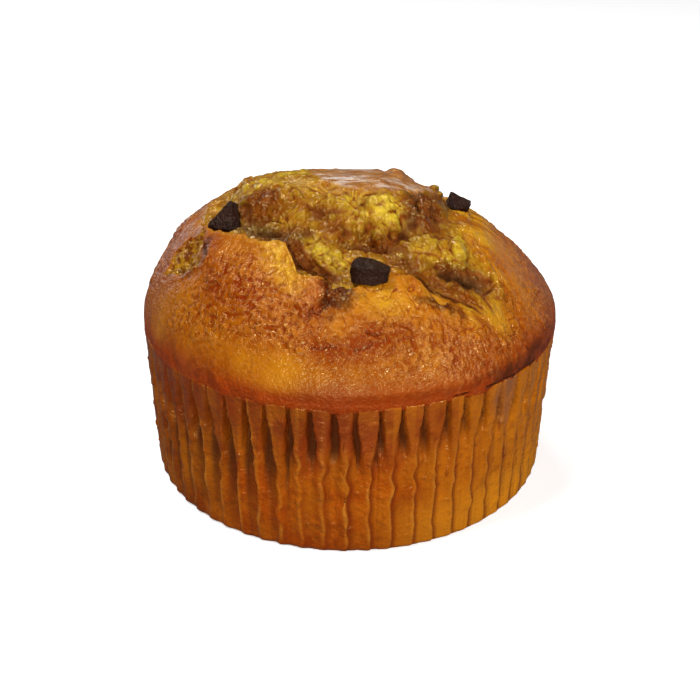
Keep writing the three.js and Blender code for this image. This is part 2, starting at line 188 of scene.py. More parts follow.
# How scorched the crust is against the paper, by azimuth.
SCORCHED = [
    (0, 0.5), (30, 0.6), (60, 0.2), (110, 0.5), (150, 0.3), (195, 0.15), (215, 0.3), (235, 0.4),
    (250, 0.15), (290, 0.1), (303, 0.35), (312, 0.8), (325, 0.85), (336, 0.6), (348, 0.3),
]
# Up to what height the crust set smooth, by azimuth.
CALM_TOP = [
    (0, 31), (60, 32), (180, 32), (205, 33), (225, 35.8), (242, 38.2), (250, 38.3), (257, 36.8),
    (266, 33.8), (295, 33.3), (310, 32),
]
# Golden with butter:
GOLDEN = [
    (-35.6, -13.3, 28, 1.2, 0.5), (1, -36, 33.8, 1.7, 0.4), (-4.1, -36.4, 33.9, 1.4, 0.35),
    (-25.4, -24.7, 35.5, 2.2, 0.3), (-33.2, -15.8, 37, 3.2, 0.35), (-9.1, -31.8, 40.4, 2.2, 0.25),
    (-33.7, -17.6, 27.6, 1.7, 0.5), (13.1, -30.2, 38.7, 2.1, 0.35), (7.6, -33.3, 35.2, 2.1, 0.3),
    (-1.6, -32.7, 40.3, 1.6, 0.6), (12.9, -33.3, 35.4, 1.7, 0.6), (-21.3, -29.8, 37.7, 2.8, 0.45),
    (-15.5, -31.4, 39.1, 1.8, 0.3), (-31.1, -18.1, 32.9, 2.2, 0.65), (-11.2, -21.3, 49.1, 2, 1),
    (-9.1, -25.6, 46.3, 1.7, 0.85), (1.9, -28.5, 43.7, 1.6, 1), (5.1, -28.7, 43.1, 1.9, 0.9),
    (11.3, -27.4, 42, 1.9, 0.7), (29.4, -5.6, 43.8, 3.8, 0.7), (29.1, -12.9, 37.4, 3.5, 0.6),
    (23.8, -2.1, 45.8, 2.5, 1), (27.6, 4.5, 42.7, 2.4, 0.6), (22.7, -10, 45, 0.95, 1),
    (22.2, -5.3, 46.5, 1.05, 1), (5.1, -26.3, 43.7, 3.4, 0.95), (-12.7, -36.1, 34.3, 3.1, 0.55),
    (-9.6, -35.3, 34.3, 2.5, 0.95), (-16.2, -31.6, 34, 1.7, 0.7), (-9.9, -23.8, 47.7, 2, 1),
    (8.3, -27.5, 42.1, 2.4, 1), (19.7, -26.8, 38, 2.3, 0.5), (17.3, -25.8, 40.2, 1.6, 0.6),
    (-17.7, -17.8, 48.7, 2.6, 0.45), (22.7, -10.9, 44.6, 1.45, 0.8), (-29.6, -21.5, 39.9, 3.2, 0.65),
    (-0.5, -29.5, 43.3, 1.9, 0.4), (-0, 28, 42, 6, 0.5), (24, 20, 40, 5, 0.4), (-26, 16, 42, 5, 0.4),
    (24.6, -6.7, 44.6, 1.5, 0.7), (26.3, -21.3, 37.1, 1.3, 0.5), (27.3, -22, 35.6, 1.3, 0.4),
]
# Rosy brown:
ROSY = [
    (-7.6, -29.7, 43.8, 1.3, 0.6), (-6.6, -31, 42.3, 1.3, 0.6), (-8.4, -27.3, 45.3, 1.1, 0.5),
    (23.2, -25.6, 36.5, 2.6, 0.35), (28.4, -17, 37.9, 2.4, 0.35), (23, -28.8, 33.5, 2.3, 0.3),
    (28.2, -24.6, 25.6, 2, 0.3), (-26.8, 3.1, 47.2, 1.8, 0.3), (-29.1, 2.7, 45.2, 1.8, 0.35),
    (-31.5, 2.6, 42.7, 1.8, 0.35), (-32.4, -1.9, 41.7, 1.8, 0.35), (-33.5, -4.8, 39.8, 1.6, 0.4),
    (-33.9, -8.8, 38, 1.6, 0.4), (5, -32.7, 39.1, 3.1, 0.9), (-7.5, -31.9, 41, 3.1, 0.7),
    (-12.3, -31.8, 39.2, 2.5, 0.6), (0.3, -34.4, 37.9, 2.2, 0.6), (-4.1, -28.3, 45.2, 1.4, 0.8),
    (-11.6, -27.9, 43.8, 2.9, 0.4), (14.5, -32.8, 35.1, 3.2, 0.5), (-31.7, 1.5, 42.5, 2.9, 0.4),
    (-35.2, 0.1, 37.7, 2.6, 0.4), (-34, -12.4, 35.8, 1.8, 0.4), (-26.8, -26.9, 29.8, 2.3, 0.4),
    (33, 3, 38, 4, 0.4), (12, 30, 39, 4, 0.5),
]
# Where the crust split under the left lobe and the crumb shows through.
SPLIT = [
    (-29.3, -10, 42.7, 2.1, 0.9), (-27, -10.2, 45, 1.8, 0.9), (-25.6, -15.5, 43.9, 1.2, 0.6),
    (-30.6, -11.2, 41.3, 1.4, 0.7), (-27.4, -13.8, 42.8, 1.7, 0.9), (-25, -11, 46.8, 1.2, 0.7),
]
# Yellow with egg:
YOLKY = [
    (-10.9, -22.4, 48.6, 2, 1), (-12.2, -19.3, 49.6, 1.6, 0.8), (-9.6, -25.4, 46.9, 1.7, 1),
    (-8.6, -28.2, 45.4, 1.1, 0.6), (-13.5, -17.4, 49.9, 1.5, 0.4), (4.9, -28.3, 43.1, 1.8, 0.6),
    (7.2, -28.3, 42.7, 1.5, 0.5), (22.8, -6, 46.4, 1, 0.9), (24, -8, 44.9, 0.9, 0.7),
    (-27.4, -12.4, 42.9, 0.9, 1), (-27.9, -13.1, 42.2, 0.7, 1), (-26.4, -12.5, 44.1, 0.9, 0.9),
    (-29.9, -11.2, 41.7, 0.9, 0.8), (-25.4, -12.9, 45.8, 0.9, 0.7),
]
# Baked red:
REDDENED = [
    (-7.1, -37.8, 32, 2.3, 0.8), (-2.3, -37.8, 32, 2.1, 0.75), (2.5, -40.3, 33.5, 2.9, 1),
    (-2.8, -34.5, 37.7, 0.85, 0.75), (8.1, -31.1, 39.6, 0.8, 0.7), (4.5, -32.5, 39.6, 1.1, 1),
    (-5, -34.5, 37.6, 1.5, 1), (-0.8, -34.5, 38, 1.45, 1), (3.6, -32.9, 38.8, 1.8, 0.95),
    (6.2, -33.2, 37.9, 1.6, 0.65), (7.4, -33.7, 37, 1.3, 0.5), (9.4, -31.5, 38.5, 1.15, 0.85),
    (2.1, -34.1, 38, 0.75, 0.9), (-21.7, -23.4, 42.6, 2.1, 0.8), (-19.8, -27.9, 39.4, 1.9, 0.7),
    (-15.5, -30.8, 38.7, 1.6, 0.5), (-22.5, -19.5, 45.4, 1.3, 0.6), (-17.3, -26.7, 42.4, 1.4, 0.4),
    (0.4, -34.8, 37.4, 1.25, 1), (9.7, -31.4, 39.4, 1.35, 0.55), (1.8, -35, 34.9, 1.35, 0.45),
    (-2.9, -34.4, 35.8, 1.8, 0.75), (-33.6, -14.7, 34.9, 1.4, 0.6), (-29.9, -22.7, 32.2, 1.7, 0.5),
    (23.1, -27.6, 34.7, 2, 0.5), (11.5, -37.1, 33.3, 2.2, 0.5), (-2.9, -29.3, 43.6, 1.3, 0.5),
    (-6, -32.6, 40.1, 1.05, 0.4), (20, 30, 36, 4, 0.5), (-24, 26, 37, 4, 0.5), (34, 10, 35, 3, 0.4),
]
# Raised in small blisters:
BLISTERED = [
    (-10.3, -23.7, 47.7, 1.3, 0.8), (-9.3, -25.9, 46.2, 1.3, 0.6), (-12, -21.4, 48.8, 1.1, 0.6),
    (-13.9, -22.1, 47.7, 1.3, 0.5), (-26.1, -22.8, 38.8, 2.3, 0.7), (-21.5, -28.4, 37, 2.3, 0.8),
    (-17.2, -31.3, 36.7, 2.2, 0.7), (-28.9, -22.5, 34.9, 2, 0.6), (-23.2, -29.3, 32.9, 2.3, 0.6),
    (-15.5, -33.5, 34.2, 1.9, 0.5), (-20.1, -22.2, 44.8, 3.6, 1), (-13.7, -27.4, 43.6, 3.8, 1),
    (-7.5, -31.7, 41.3, 3.4, 1), (-14.2, -30.8, 39.4, 3.5, 0.9), (-20.6, -27.2, 39.4, 3.2, 0.6),
    (-9.4, -33.8, 37.4, 2.5, 0.7), (5, -32.7, 39.1, 3.4, 0.7), (12.6, -33.3, 35.5, 3.8, 0.6),
    (17.4, -30.9, 35.5, 2.9, 0.5), (21.7, -28.3, 35.1, 2.3, 0.4), (8.5, -31.4, 39.3, 3.1, 0.6),
    (-1.6, -34.7, 37.5, 2.2, 0.6), (30.8, -5.1, 39.9, 2.5, 0.4), (33, -10.3, 36.4, 2.5, 0.5),
    (34.4, -14.3, 32.8, 1.7, 0.4), (31, 5, 41, 4, 0.8), (26, 9, 44, 3, 0.6), (-30, 8, 42, 4, 0.7),
    (28.4, -17, 37.9, 2, 0.4), (25.9, -23.8, 35.6, 2, 0.5), (-30.5, 2.6, 43.5, 3, 0.5),
    (-28, 18, 40, 7, 0.8), (16, 30, 38, 7, 0.8), (33, 8, 37, 5, 0.6), (-34, -4, 38, 4, 0.5),
]
# Wrinkled as it set:
WRINKLED = [
    (-29.1, 2.7, 45.2, 1.8, 0.7), (-32.3, 2.4, 41.8, 1.8, 0.7), (-30, -3, 44, 1.8, 0.7),
    (-27, -3.5, 47, 1.5, 0.6), (30.8, -5.1, 39.9, 2.5, 0.4), (33, -10.3, 36.4, 2.5, 0.4),
    (14.7, -28.9, 39, 3.2, 0.8), (19.6, -28.5, 36.5, 3.5, 1), (23.9, -27.7, 33.9, 2.9, 0.9),
    (17, -32.3, 34.1, 3, 0.9), (12, -34, 34.5, 2.5, 0.6), (26.8, -23.9, 34.7, 2, 0.5),
    (-8, 34, 36, 5, 0.8), (28, 22, 35, 4, 0.7), (-33, 4, 38, 4, 0.6),
]


def smooth(low, high, value):
    """Nothing up to low, one from high, and between them three times the square of the share of
    the way less twice its cube."""
    t = np.clip((value - low) / (high - low), 0, 1)
    return t * t * (3 - 2 * t)


def bumps(x, y, z):
    """Values from -1 to 1 at the corners of unit cubes, each the fraction of a large sine, mixed
    across each cube by smooth shares."""
    i, j, k = np.floor(x), np.floor(y), np.floor(z)
    u, v, w = (t * t * (3 - 2 * t) for t in (x - i, y - j, z - k))

    def corner(a, b, c):
        value = np.sin((i + a) * 127.1 + (j + b) * 311.7 + (k + c) * 74.7) * 43758.5453
        return 2 * (value - np.floor(value)) - 1

    def row(b, c):
        return corner(0, b, c) * (1 - u) + corner(1, b, c) * u

    return (row(0, 0) * (1 - v) + row(1, 0) * v) * (1 - w) + (row(0, 1) * (1 - v) + row(1, 1) * v) * w


def rough(points, size, seed):
    """Bumps at points divided by a size in mm, turned about the upright axis and moved by a seed."""
    x, y, z = np.moveaxis(points / size, -1, 0)
    return bumps(x * 0.8 - y * 0.6 + seed, x * 0.6 + y * 0.8 - seed, z + 1.7 * seed)


def layers(points, sizes):
    """The sum of bumps of several sizes, each with its height, size and seed."""
    return sum(high * rough(points, size, seed) for high, size, seed in sizes)


def ridges(points, sizes):
    """The same with each layer's bumps folded up into ridges by their absolute value."""
    return sum(high * np.abs(rough(points, size, seed)) for high, size, seed in sizes)


def round_table(table, degrees):
    """Straight interpolation between rows of (azimuth, value), round the whole circle."""
    at, values = zip(*table)
    return np.interp(degrees, at, values, period=360)


def near_line(line, x, y):
    """Distance to a chain of points, the share along it, and which side of it the place lies on."""
    best = np.full(x.shape, np.inf)
    share, side = np.zeros(x.shape), np.ones(x.shape)
    for n, ((ax, ay), (bx, by)) in enumerate(zip(line, line[1:])):
        dx, dy = bx - ax, by - ay
        t = np.clip(((x - ax) * dx + (y - ay) * dy) / (dx * dx + dy * dy), 0, 1)
        distance = np.hypot(x - ax - t * dx, y - ay - t * dy)
        closer = distance < best
        best = np.where(closer, distance, best)
        share = np.where(closer, (n + t) / (len(line) - 1), share)
        side = np.where(closer, np.sign(dx * (y - ay) - dy * (x - ax)), side)
    return best, share, side


def spots(points, places, spread=1.3):
    """Soft balls laid over one another. Each takes away its strength times a bell curve of the
    distance over its radius, and the mask is one less the product of what they leave."""
    left = np.ones(points.shape[:-1])
    for x, y, z, radius, strength in places:
        distance = np.linalg.norm(points - (x, y, z), axis=-1)
        left = left * (1 - strength * np.exp(-((distance / radius / spread) ** 2)))
    return 1 - left


def rim_reach(azimuth):
    """The radius of the paper's rim, plus a lean that grows by a smooth step towards the right."""
    return RIM_RADIUS + RIM_LEAN * smooth(0.3, 0.95, np.cos(azimuth))


def side_of_dome(azimuth):
    """Reach, rise and the two exponents of the dome's outline at an azimuth, left mixed to right."""
    share = smooth(-0.75, 0.75, np.cos(azimuth))[..., None]
    return np.moveaxis(LEFT_SIDE * (1 - share) + RIGHT_SIDE * share, -1, 0)


def from_oval(across, up, long, wide, tilt):
    """Distance from the middle of an oval turned by a tilt in degrees, 1 on its outline."""
    c, s = math.cos(math.radians(tilt)), math.sin(math.radians(tilt))
    return np.hypot((across * c + up * s) / long, (up * c - across * s) / wide)


def smooth_dome(x, y):
    """A superellipse of revolution: the share of the reach to one power and the share of the rise
    to another add up to one. The rise is less towards the back."""
    reach, rise, across, up = side_of_dome(np.arctan2(y, x))
    r = np.minimum(1, np.hypot(x, y) / reach)
    return SHOULDER_Z + rise * (1 - BACK_SAG * smooth(2, 24, y)) * (1 - r**across) ** (1 / up)


def creases(x, y, on_crust):
    """The sum of the mounds, less the cracks, plus the folds, each a smooth step of a distance."""
    rise = 0.35 * bumps(x / 11 + 5, y / 11, np.full(x.shape, 1.5))
    for mx, my, long, wide, tilt, high in MOUNDS:
        rise += high * smooth(1, 0.25, from_oval(x - mx, y - my, long, wide, tilt))
    wander = 0.45 * bumps(x / 1.1, y / 1.1, np.full(x.shape, 3.5))
    cut = np.zeros(x.shape)
    for line, half, deep in CRACKS:
        distance, share, _ = near_line(line, x + wander, y - wander)
        cut = np.maximum(cut, deep * smooth(half, 0, distance) * smooth(1, 0.75, share))
    for line, proud, reach in FOLDS if on_crust else ():
        distance, share, side = near_line(line, x, y)
        fade = smooth(0, 0.2, share) * smooth(1, 0.7, share)
        rise += np.where(side < 0, proud * smooth(reach, 0, distance) * fade, 0)
    return smooth(RIM_RADIUS, RIM_RADIUS - 5, np.hypot(x, y)) * (rise - cut), cut


def crust_edge(degrees):
    """The edge's radius from the tear's centre, from the table, with a ragged fringe added."""
    turn = np.radians(degrees)
    x, y = 26 * np.cos(turn), 26 * np.sin(turn)
    flat = np.zeros(turn.shape)
    ragged = 0.75 * bumps(x / 2.6, y / 2.6, flat + 2.5) + 0.55 * bumps(x / 1.1, y / 1.1, flat + 7.5)
    return round_table(CRUST_EDGE, degrees) + ragged


def unit(vectors):
    """Vectors divided by their lengths."""
    return vectors / np.maximum(np.linalg.norm(vectors, axis=-1, keepdims=True), 1e-9)


def at_height(plan, z):
    """Points in plan lifted to a height, one for all of them or one for each."""
    return np.concatenate([plan, np.broadcast_to(z, plan.shape[:-1])[..., None]], axis=-1)


def grid_normals(rows):
    """The cross product of the steps along and across a grid that is closed round its rows."""
    around = np.roll(rows, -1, axis=1) - np.roll(rows, 1, axis=1)
    return unit(np.cross(around, np.gradient(rows, axis=0)))


def evened(values, passes):
    """Each value replaced by a mix of itself and its four neighbours, several times over."""
    for _ in range(passes):
        up, down = np.roll(values, 1, axis=0), np.roll(values, -1, axis=0)
        up[0], down[-1] = values[0], values[-1]
        values = (values * 2 + up + down + np.roll(values, 1, axis=1) + np.roll(values, -1, axis=1)) / 6
    return values


def closed_surface(name, rows, first, last, masks):
    """Quads between rows that are closed round, and a fan from each end row to its pole."""
    count, around = rows.shape[:2]
    points = np.concatenate([[first], rows.reshape(-1, 3), [last]]) * MM
    index = 1 + np.arange(count * around).reshape(count, around)
    after = np.roll(index, -1, axis=1)
    quads = np.stack([index[:-1], after[:-1], after[1:], index[1:]], axis=-1).reshape(-1, 4)
    pole = np.full(around, len(points) - 1)
    fans = np.concatenate([
        np.stack([after[0], index[0], np.zeros(around, int)], axis=-1),
        np.stack([index[-1], after[-1], pole], axis=-1),
    ])
    mesh = bpy.data.meshes.new(name)
    mesh.vertices.add(len(points))
    mesh.vertices.foreach_set("co", points.ravel())
    mesh.loops.add(quads.size + fans.size)
    mesh.loops.foreach_set("vertex_index", np.concatenate([quads.ravel(), fans.ravel()]))
    sizes = np.concatenate([np.full(len(quads), 4), np.full(len(fans), 3)])
    mesh.polygons.add(len(sizes))
    mesh.polygons.foreach_set("loop_start", np.concatenate([[0], np.cumsum(sizes)[:-1]]))
    mesh.update(calc_edges=True)
    for mask, values in masks.items():
        attribute = mesh.attributes.new(mask, "FLOAT", "POINT")
        flat = np.concatenate([[values[0].mean()], values.ravel(), [values[-1].mean()]])
        attribute.data.foreach_set("value", flat.astype(np.float32))
    mesh.shade_smooth()
    piece = bpy.data.objects.new(name, mesh)
    bpy.context.collection.objects.link(piece)
    return piece


def front_heavy(count):
    """Even azimuths less a share of their cosines, so that they come closer together in front."""
    turn = np.arange(count) * 2 * np.pi / count
    return turn - CLOSER_IN_FRONT * np.cos(turn)


def dome_from_edge_to_rim():
    """Points along each ray from the tear's centre, the gaps shrinking with the square of the share
    left to go, so that the rows stay evenly apart as the side turns upright."""
    turn = front_heavy(CRUST_AROUND)
    ray = np.stack([np.cos(turn), np.sin(turn)], axis=-1)
    edge = crust_edge(np.degrees(turn) % 360)
    along = ray @ TORN_CENTRE
    rim = np.full(CRUST_AROUND, RIM_GUESS)
    for _ in range(4):
        x, y = (TORN_CENTRE + ray * rim[:, None]).T
        reach = side_of_dome(np.arctan2(y, x))[0]
        rim = -along + np.sqrt(along**2 - TORN_CENTRE @ TORN_CENTRE + reach**2)
    left = np.linspace(0, 1, CRUST_ROWS)[:, None] ** 2
    out = edge * left + rim * (1 - left)
    x, y = np.moveaxis(TORN_CENTRE + ray * out[..., None], -1, 0)
    rise, cut = creases(x, y, True)
    return np.stack([x, y, smooth_dome(x, y) + rise], axis=-1), cut


def melt_strings(x, y):
    """Strings across the tear's edge: bumps of the direction from its centre, long along the radius."""
    x, y = x - TORN_CENTRE[0], y - TORN_CENTRE[1]
    radius = np.maximum(np.hypot(x, y), 1)
    bend = 0.5 * bumps(x / 3, y / 3, 0 * x + 6.5)
    across = STRINGS_ROUND / radius
    return bumps(across * x + bend, across * y - bend, radius / STRING_LENGTH)


dome, cut = dome_from_edge_to_rim()
bearing = np.arctan2(dome[..., 1], dome[..., 0])
height, flat = dome[..., 2], np.zeros(bearing.shape)

# Blisters, the crumbs in the split, and wrinkles, all calm over the rim and inside the cracks.
blistered = spots(dome, BLISTERED)
wrinkled = spots(dome, WRINKLED, WRINKLE_SPREAD)
split = smooth(0.25, 0.62, spots(dome, SPLIT) + layers(dome, SPLIT_FRAY))
blisters = ridges(dome, BLISTER_RIDGES) - BLISTER_MEAN
blisters = blisters + split * (ridges(dome, SPLIT_CRUMBS) - SPLIT_DEPTH)
bent = bearing * SIDE_RADIUS / WRINKLE_WIDTH + 0.9 * rough(dome, 2.2, 6)
wrinkles = WRINKLE_HEIGHT * (0.5 - np.abs(bumps(bent, height / WRINKLE_LENGTH, flat + 2.5)))
bent = bearing * SIDE_RADIUS / STROKE_WIDTH + 0.9 * rough(dome, 1.1, 28)
strokes = wrinkled * np.clip(1.6 * bumps(bent, height / STROKE_LENGTH, flat + 5.5), -1, 1)
wrinkles = wrinkles + STROKE_HEIGHT * strokes
bearing = np.degrees(bearing) % 360
calm = smooth(1.2, -2, height - round_table(CALM_TOP, bearing) - 0.8 * rough(dome, 4, 45))
relief = layers(dome, SWELLS) + ridges(dome, CREASE_RIDGES)
relief = relief + (0.25 + 1.25 * blistered + split) * blisters + wrinkled * wrinkles
relief = (0.35 + 0.65 * smooth(29, 35, height)) * (1 - 0.6 * calm) * (1 - smooth(0, 0.3, cut)) * relief

# The edge of the tear: it curls up where it stands proud, and elsewhere it melts into the crumb.
away = np.linalg.norm(dome - dome[-1:], axis=-1)
from_centre = np.degrees(np.arctan2(dome[..., 1] - TORN_CENTRE[1], dome[..., 0] - TORN_CENTRE[0])) % 360
proud = round_table(EDGE_PROUD, from_centre)
curl = CURL * proud * smooth(CURL_REACH, 0, away)
dive = DIVE * (1 - proud) * smooth(DIVE_REACH, 0, away)
melted = round_table(MELTED, from_centre) * smooth(6.5, 0.5, away)
strings = np.clip(2 * melt_strings(dome[..., 0], dome[..., 1]), -1, 1) * melted
by_tear = smooth(262, 268, from_centre) * smooth(345, 325, from_centre) * smooth(9, 2, away)
crackle = by_tear * smooth(0.1, 0.02, np.abs(layers(dome, CRACKLE_FRAY)))
relief = relief * (1 - (1 - proud) * smooth(2.5, 0.3, away)) + STRING_HEIGHT * strings
relief = relief - CRACKLE_DEPTH * crackle + by_tear * layers(dome, TEAR_SWELLS)

# The rim: the side is tucked in to meet the paper, and laps over it by an uneven width.
around = dome[:1] * (1, 1, 0)
lap = (layers(around, LAP) + LAP_MEAN) * smooth(36, 20, around[..., 0])
over = np.linalg.norm(around, axis=-1) - rim_reach(np.arctan2(around[..., 1], around[..., 0])) - lap
tuck = over * smooth(31.5, 29.3, height)
dome = dome + grid_normals(dome) * (relief + curl - tuck - dive)[..., None]

rim = dome[:1, :, :2]
outward = unit(rim)
drips = 0.2 + 0.5 * smooth(22, 34, around[..., 0])
droop = layers(around, DROOP) + drips * layers(around, DRIPS)
core = [at_height(outward * CORE_RADIUS, z) for z in (CORE_FOOT, CORE_TOP)]
lip = [at_height(rim - outward * inset, z + sag * droop) for inset, z, sag in LIP]
edge = dome[-1:]
inward = unit(TORN_CENTRE - edge[..., :2])
fringe = [at_height(edge[..., :2] - inward * inset, edge[..., 2] - drop) for inset, drop in FRINGE]
rows = np.concatenate([*core, *lip, dome, *fringe])


def over_dome(values, below=0.0, within=None):
    """A mask of the dome's rows, carried over to the rows under the lip and inside the tear."""
    hidden = [np.full((1, CRUST_AROUND), below)] * len(core + lip)
    inner = values[-1:] if within is None else np.full((1, CRUST_AROUND), within)
    return np.concatenate(hidden + [values] + [inner] * len(fringe))


scorched = round_table(SCORCHED, bearing) * smooth(34.6, 30, dome[..., 2] + 1.2 * rough(dome, 3, 11))
# Painted light and shade: positive where the relief lies below what is round it, negative above.
hollow = (evened(relief, 10) - relief) * 7
crust = closed_surface("muffin_crust", rows, (0, 0, CORE_FOOT), (*TORN_CENTRE, CORE_PEAK), {
    "browned": over_dome(np.maximum(spots(dome, BROWNED_AND_SHADED), scorched), 0.1),
    "golden": over_dome(spots(dome, GOLDEN) * smooth(29.6, 32.4, dome[..., 2])),
    "blistered": over_dome(blistered),
    "hollow": over_dome(np.clip(hollow, -1, 1)),
    # Painted shade in the cracks, and in the crackle by the tear.
    "crack": over_dome(np.maximum(smooth(0.04, 0.45, cut), 0.6 * crackle)),
    "rim": over_dome(smooth(34.5, 29.3, dome[..., 2]), 1.0),
    "split": over_dome(split),
    "rosy": over_dome(spots(dome, ROSY)),
    "reddened": over_dome(spots(dome, REDDENED)),
    "yolky": over_dome(spots(dome, YOLKY)),
    "tear": over_dome(np.maximum(smooth(1.2, 0, away), melted), 0.0, 1.0),
    "strings": over_dome(strings),
    "strokes": over_dome(strokes),
    "calm": over_dome(calm),
})


def srgb(red, green, blue):
    """A colour of 0 to 255 in linear light: a power of 2.4 above the dark end."""
    shares = np.array([red, green, blue]) / 255
    linear = np.where(shares > 0.04045, ((shares + 0.055) / 1.055) ** 2.4, shares / 12.92)
    return (*linear, 1)


class Nodes:
    """Adds nodes to a tree and links them, one call for each node."""

    def __init__(self, tree):
        self.tree = tree

    def feed(self, node, socket, value):
        """Links a value that is a socket, and sets one that is a number or a colour."""
        if isinstance(value, bpy.types.NodeSocket):
            self.tree.links.new(value, node.inputs[socket])
        else:
            node.inputs[socket].default_value = value

    def add(self, kind, sockets=(), **settings):
        """A new node with its settings, each of its sockets fed."""
        node = self.tree.nodes.new(kind)
        for name, value in settings.items():
            setattr(node, name, value)
        for socket, value in dict(sockets).items():
            self.feed(node, socket, value)
        return node

    def mask(self, name):
        """A mask that the mesh carries."""
        return self.add("ShaderNodeAttribute", attribute_name=name).outputs["Fac"]

    def reckon(self, operation, *values):
        """One sum of two or three values."""
        return self.add("ShaderNodeMath", enumerate(values), operation=operation).outputs[0]

    def times(self, a, b, c=0.0):
        """a times b plus c."""
        return self.reckon("MULTIPLY_ADD", a, b, c)

    def share(self, a, b=1.0, c=0.0):
        """a times b plus c, held between 0 and 1."""
        sockets = {0: a, 1: b, 2: c}
        return self.add("ShaderNodeMath", sockets, operation="MULTIPLY_ADD", use_clamp=True).outputs[0]

    def blend(self, share, below, above):
        """The colour below times one less the share, plus the colour above times the share."""
        return self.add("ShaderNodeMix", {0: share, 6: below, 7: above}, data_type="RGBA").outputs[2]

    def paint(self, colour, layers):
        """Colours laid over one another, each by a mask or a value, times a gain, plus a start."""
        for value, gain, start, tint in layers:
            value = self.mask(value) if isinstance(value, str) else value
            colour = self.blend(self.share(value, gain, start), colour, tint)
        return colour

    def ramp(self, value, low, high):
        """A smooth step of a value from low to high."""
        sockets = {"Value": value, "From Min": low, "From Max": high}
        return self.add("ShaderNodeMapRange", sockets, interpolation_type="SMOOTHSTEP").outputs["Result"]

    def noise(self, place, scale, detail, stretch=None):
        """Cloudy noise at a place, which is multiplied along each axis first where it is stretched."""
        if stretch:
            place = self.add("ShaderNodeMapping", {"Vector": place, "Scale": stretch}).outputs[0]
        sockets = {"Vector": place, "Scale": scale, "Detail": detail, "Roughness": 0.6}
        return self.add("ShaderNodeTexNoise", sockets).outputs["Fac"]

    def bump(self, height, distance):
        """The normal tilted by the slope of a height, whose 1 is a distance in metres."""
        return self.add("ShaderNodeBump", {"Height": height, "Distance": distance}).outputs[0]


# Mottling: heat and butter leave soft blotches, grains between them, and thin veins round the grains.
group = bpy.data.node_groups.new("mottling", "ShaderNodeTree")
for label, kind in {"Place": "Vector", "Blotch": "Float", "Grain": "Float"}.items():
    group.interface.new_socket(label, in_out="INPUT", socket_type="NodeSocket" + kind)
for label in ("Blotches", "Grains", "Veins"):
    group.interface.new_socket(label, in_out="OUTPUT", socket_type="NodeSocketFloat")
nodes = Nodes(group)
given = nodes.add("NodeGroupInput").outputs
grains = nodes.noise(given["Place"], given["Grain"], 1.0)
from_middle = nodes.reckon("ABSOLUTE", nodes.times(grains, 1.0, -0.5))
nodes.add("NodeGroupOutput", {
    "Blotches": nodes.ramp(nodes.noise(given["Place"], given["Blotch"], 3.0), 0.35, 0.65),
    "Grains": nodes.ramp(grains, 0.3, 0.7),
    "Veins": nodes.ramp(from_middle, 0.06, 0.0),
})


def mottling(nodes, place, blotch, grain):
    """Places the group; blotch and grain are how many there are to the metre."""
    sockets = {"Place": place, "Blotch": blotch, "Grain": grain}
    return nodes.add("ShaderNodeGroup", sockets, node_tree=bpy.data.node_groups["mottling"]).outputs


def new_material(name, specular, tint=(1, 1, 1, 1)):
    """A node material with its Principled BSDF, whose reflection has a level and a tint, and the
    Object coordinates."""
    material = bpy.data.materials.new(name)
    material.use_nodes = True
    nodes = Nodes(material.node_tree)
    shader = material.node_tree.nodes["Principled BSDF"]
    shader.inputs["Specular IOR Level"].default_value = specular
    shader.inputs["Specular Tint"].default_value = tint
    return material, nodes, shader, nodes.add("ShaderNodeTexCoord").outputs["Object"]


CRUST_ORANGE = srgb(172, 80, 8)
CRUST_AMBER = srgb(194, 106, 14)
CRUST_RED = srgb(146, 46, 3)
CRUST_BROWN = srgb(88, 28, 4)
RIM_ORANGE = srgb(176, 54, 0)
CRACK_SHADE_RED = srgb(150, 46, 2)
CRUST_GOLD = srgb(224, 142, 24)
CRUST_ROSE = srgb(182, 94, 46)
CRUST_CREST_SHEEN = srgb(214, 134, 70)
TORN_GOLD = srgb(196, 118, 18)
SPLIT_OLIVE = srgb(188, 128, 30)
SPLIT_BROWN = srgb(126, 58, 10)
STRING_YELLOW = srgb(232, 172, 40)
BUTTER_SHINE = srgb(255, 236, 160)

